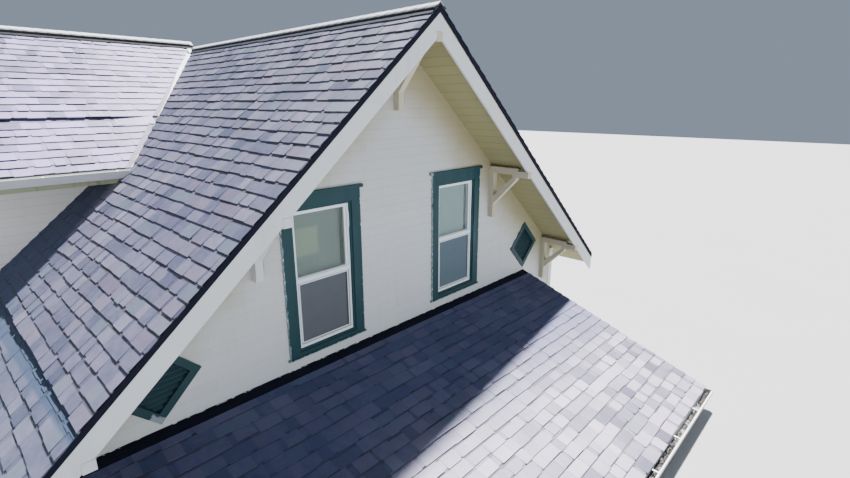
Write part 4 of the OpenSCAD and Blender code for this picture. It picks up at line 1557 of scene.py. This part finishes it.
class DORMER_OT_stage(Operator):
    """Sets up the plain floor, the soft light and the camera"""

    bl_idname = "dormer.stage"
    bl_label = "Floor, light and camera"

    def execute(self, context):
        self.floor(context)
        self.sun(context, "key", 23.0, 3, (1.0, 0.98, 0.97), (0.50, 0.24, 1.0))
        self.sun(context, "fill", 1.0, 60, (0.95, 0.98, 1.0), (-0.10, -1.0, 0.10))
        self.sky(context)
        self.camera(context)
        return {"FINISHED"}

    def floor(self, context):
        """A plain pale floor."""
        half, drop = 60.0, 0.001
        shape = bpy.data.meshes.new("stage_floor")
        corners = [(x, y, -drop) for x, y in rectangle(-half, -half, half, half)]
        shape.from_pydata(corners, [], [(0, 1, 2, 3)])
        s = Shader("stage floor")
        base = s.mix(s.noise(0.4, 3.0), (0.36, 0.365, 0.37), (0.39, 0.395, 0.40))
        shape.materials.append(s.close(base_color=base, roughness=0.9))
        made = bpy.data.objects.new("stage_floor", shape)
        context.scene.collection.objects.link(made)

    def sun(self, context, name, energy, spread, colour, direction):
        """A distant light in a direction, as wide as spread in degrees."""
        light = bpy.data.lights.new(name, "SUN")
        light.energy, light.angle, light.color = energy, math.radians(spread), colour
        lamp = bpy.data.objects.new(name, light)
        to_light = Vector(direction).normalized()
        lamp.rotation_euler = to_light.to_track_quat("Z", "Y").to_euler()
        lamp.location = to_light * 20
        context.scene.collection.objects.link(lamp)

    def sky(self, context):
        """An even blue sky."""
        world = bpy.data.worlds.new("sky")
        world.use_nodes = True
        sky = world.node_tree.nodes["Background"]
        sky.inputs["Color"].default_value = (0.64, 0.78, 1.0, 1.0)
        sky.inputs["Strength"].default_value = 0.38
        context.scene.world = world

    def camera(self, context):
        """The photograph's viewpoint."""
        yaw, tip = math.radians(46.76), math.radians(-15.67)
        level = math.cos(tip)
        forward = Vector((math.sin(yaw) * level, math.cos(yaw) * level, math.sin(tip)))
        right = Vector((math.cos(yaw), -math.sin(yaw), 0.0))
        turn = Matrix((right, right.cross(forward), -forward)).transposed().to_4x4()
        lens = bpy.data.cameras.new("camera")
        lens.sensor_fit, lens.sensor_width, lens.lens = "HORIZONTAL", 36.0, 20.49
        lens.clip_start, lens.clip_end = 0.05, 300.0
        made = bpy.data.objects.new("camera", lens)
        made.matrix_world = Matrix.Translation((-3.853, -4.135, 3.923)) @ turn
        context.scene.collection.objects.link(made)
        context.scene.camera = made


STEPS = (
    DORMER_OT_walls, DORMER_OT_roofs, DORMER_OT_eaves, DORMER_OT_windows,
    DORMER_OT_vents, DORMER_OT_gutters, DORMER_OT_stage,
)


class DORMER_PT_sidebar(Panel):
    """Lists the sizes, the colours and the steps"""

    bl_idname = "DORMER_PT_sidebar"
    bl_label = "Gabled dormer storey"
    bl_space_type = "VIEW_3D"
    bl_region_type = "UI"
    bl_category = "Dormer"

    def draw(self, context):
        layout = self.layout
        for group in (context.scene.dormer_sizes, context.scene.dormer_colours):
            box = layout.box()
            for name in group.__annotations__:
                box.prop(group, name)
        for step in STEPS:
            layout.operator(step.bl_idname)


CLASSES = (DormerSizes, DormerColours, *STEPS, DORMER_PT_sidebar)


def register():
    """Adds the classes and the scene's settings."""
    for made in CLASSES:
        bpy.utils.register_class(made)
    bpy.types.Scene.dormer_sizes = PointerProperty(type=DormerSizes)
    bpy.types.Scene.dormer_colours = PointerProperty(type=DormerColours)


def unregister():
    """Takes them away again."""
    del bpy.types.Scene.dormer_colours
    del bpy.types.Scene.dormer_sizes
    for made in reversed(CLASSES):
        bpy.utils.unregister_class(made)


def main():
    """Makes every piece in order."""
    register()
    bpy.ops.dormer.walls()
    bpy.ops.dormer.roofs()
    bpy.ops.dormer.eaves()
    bpy.ops.dormer.windows()
    bpy.ops.dormer.vents()
    bpy.ops.dormer.gutters()
    bpy.ops.dormer.stage()


if __name__ == "__main__":
    main()
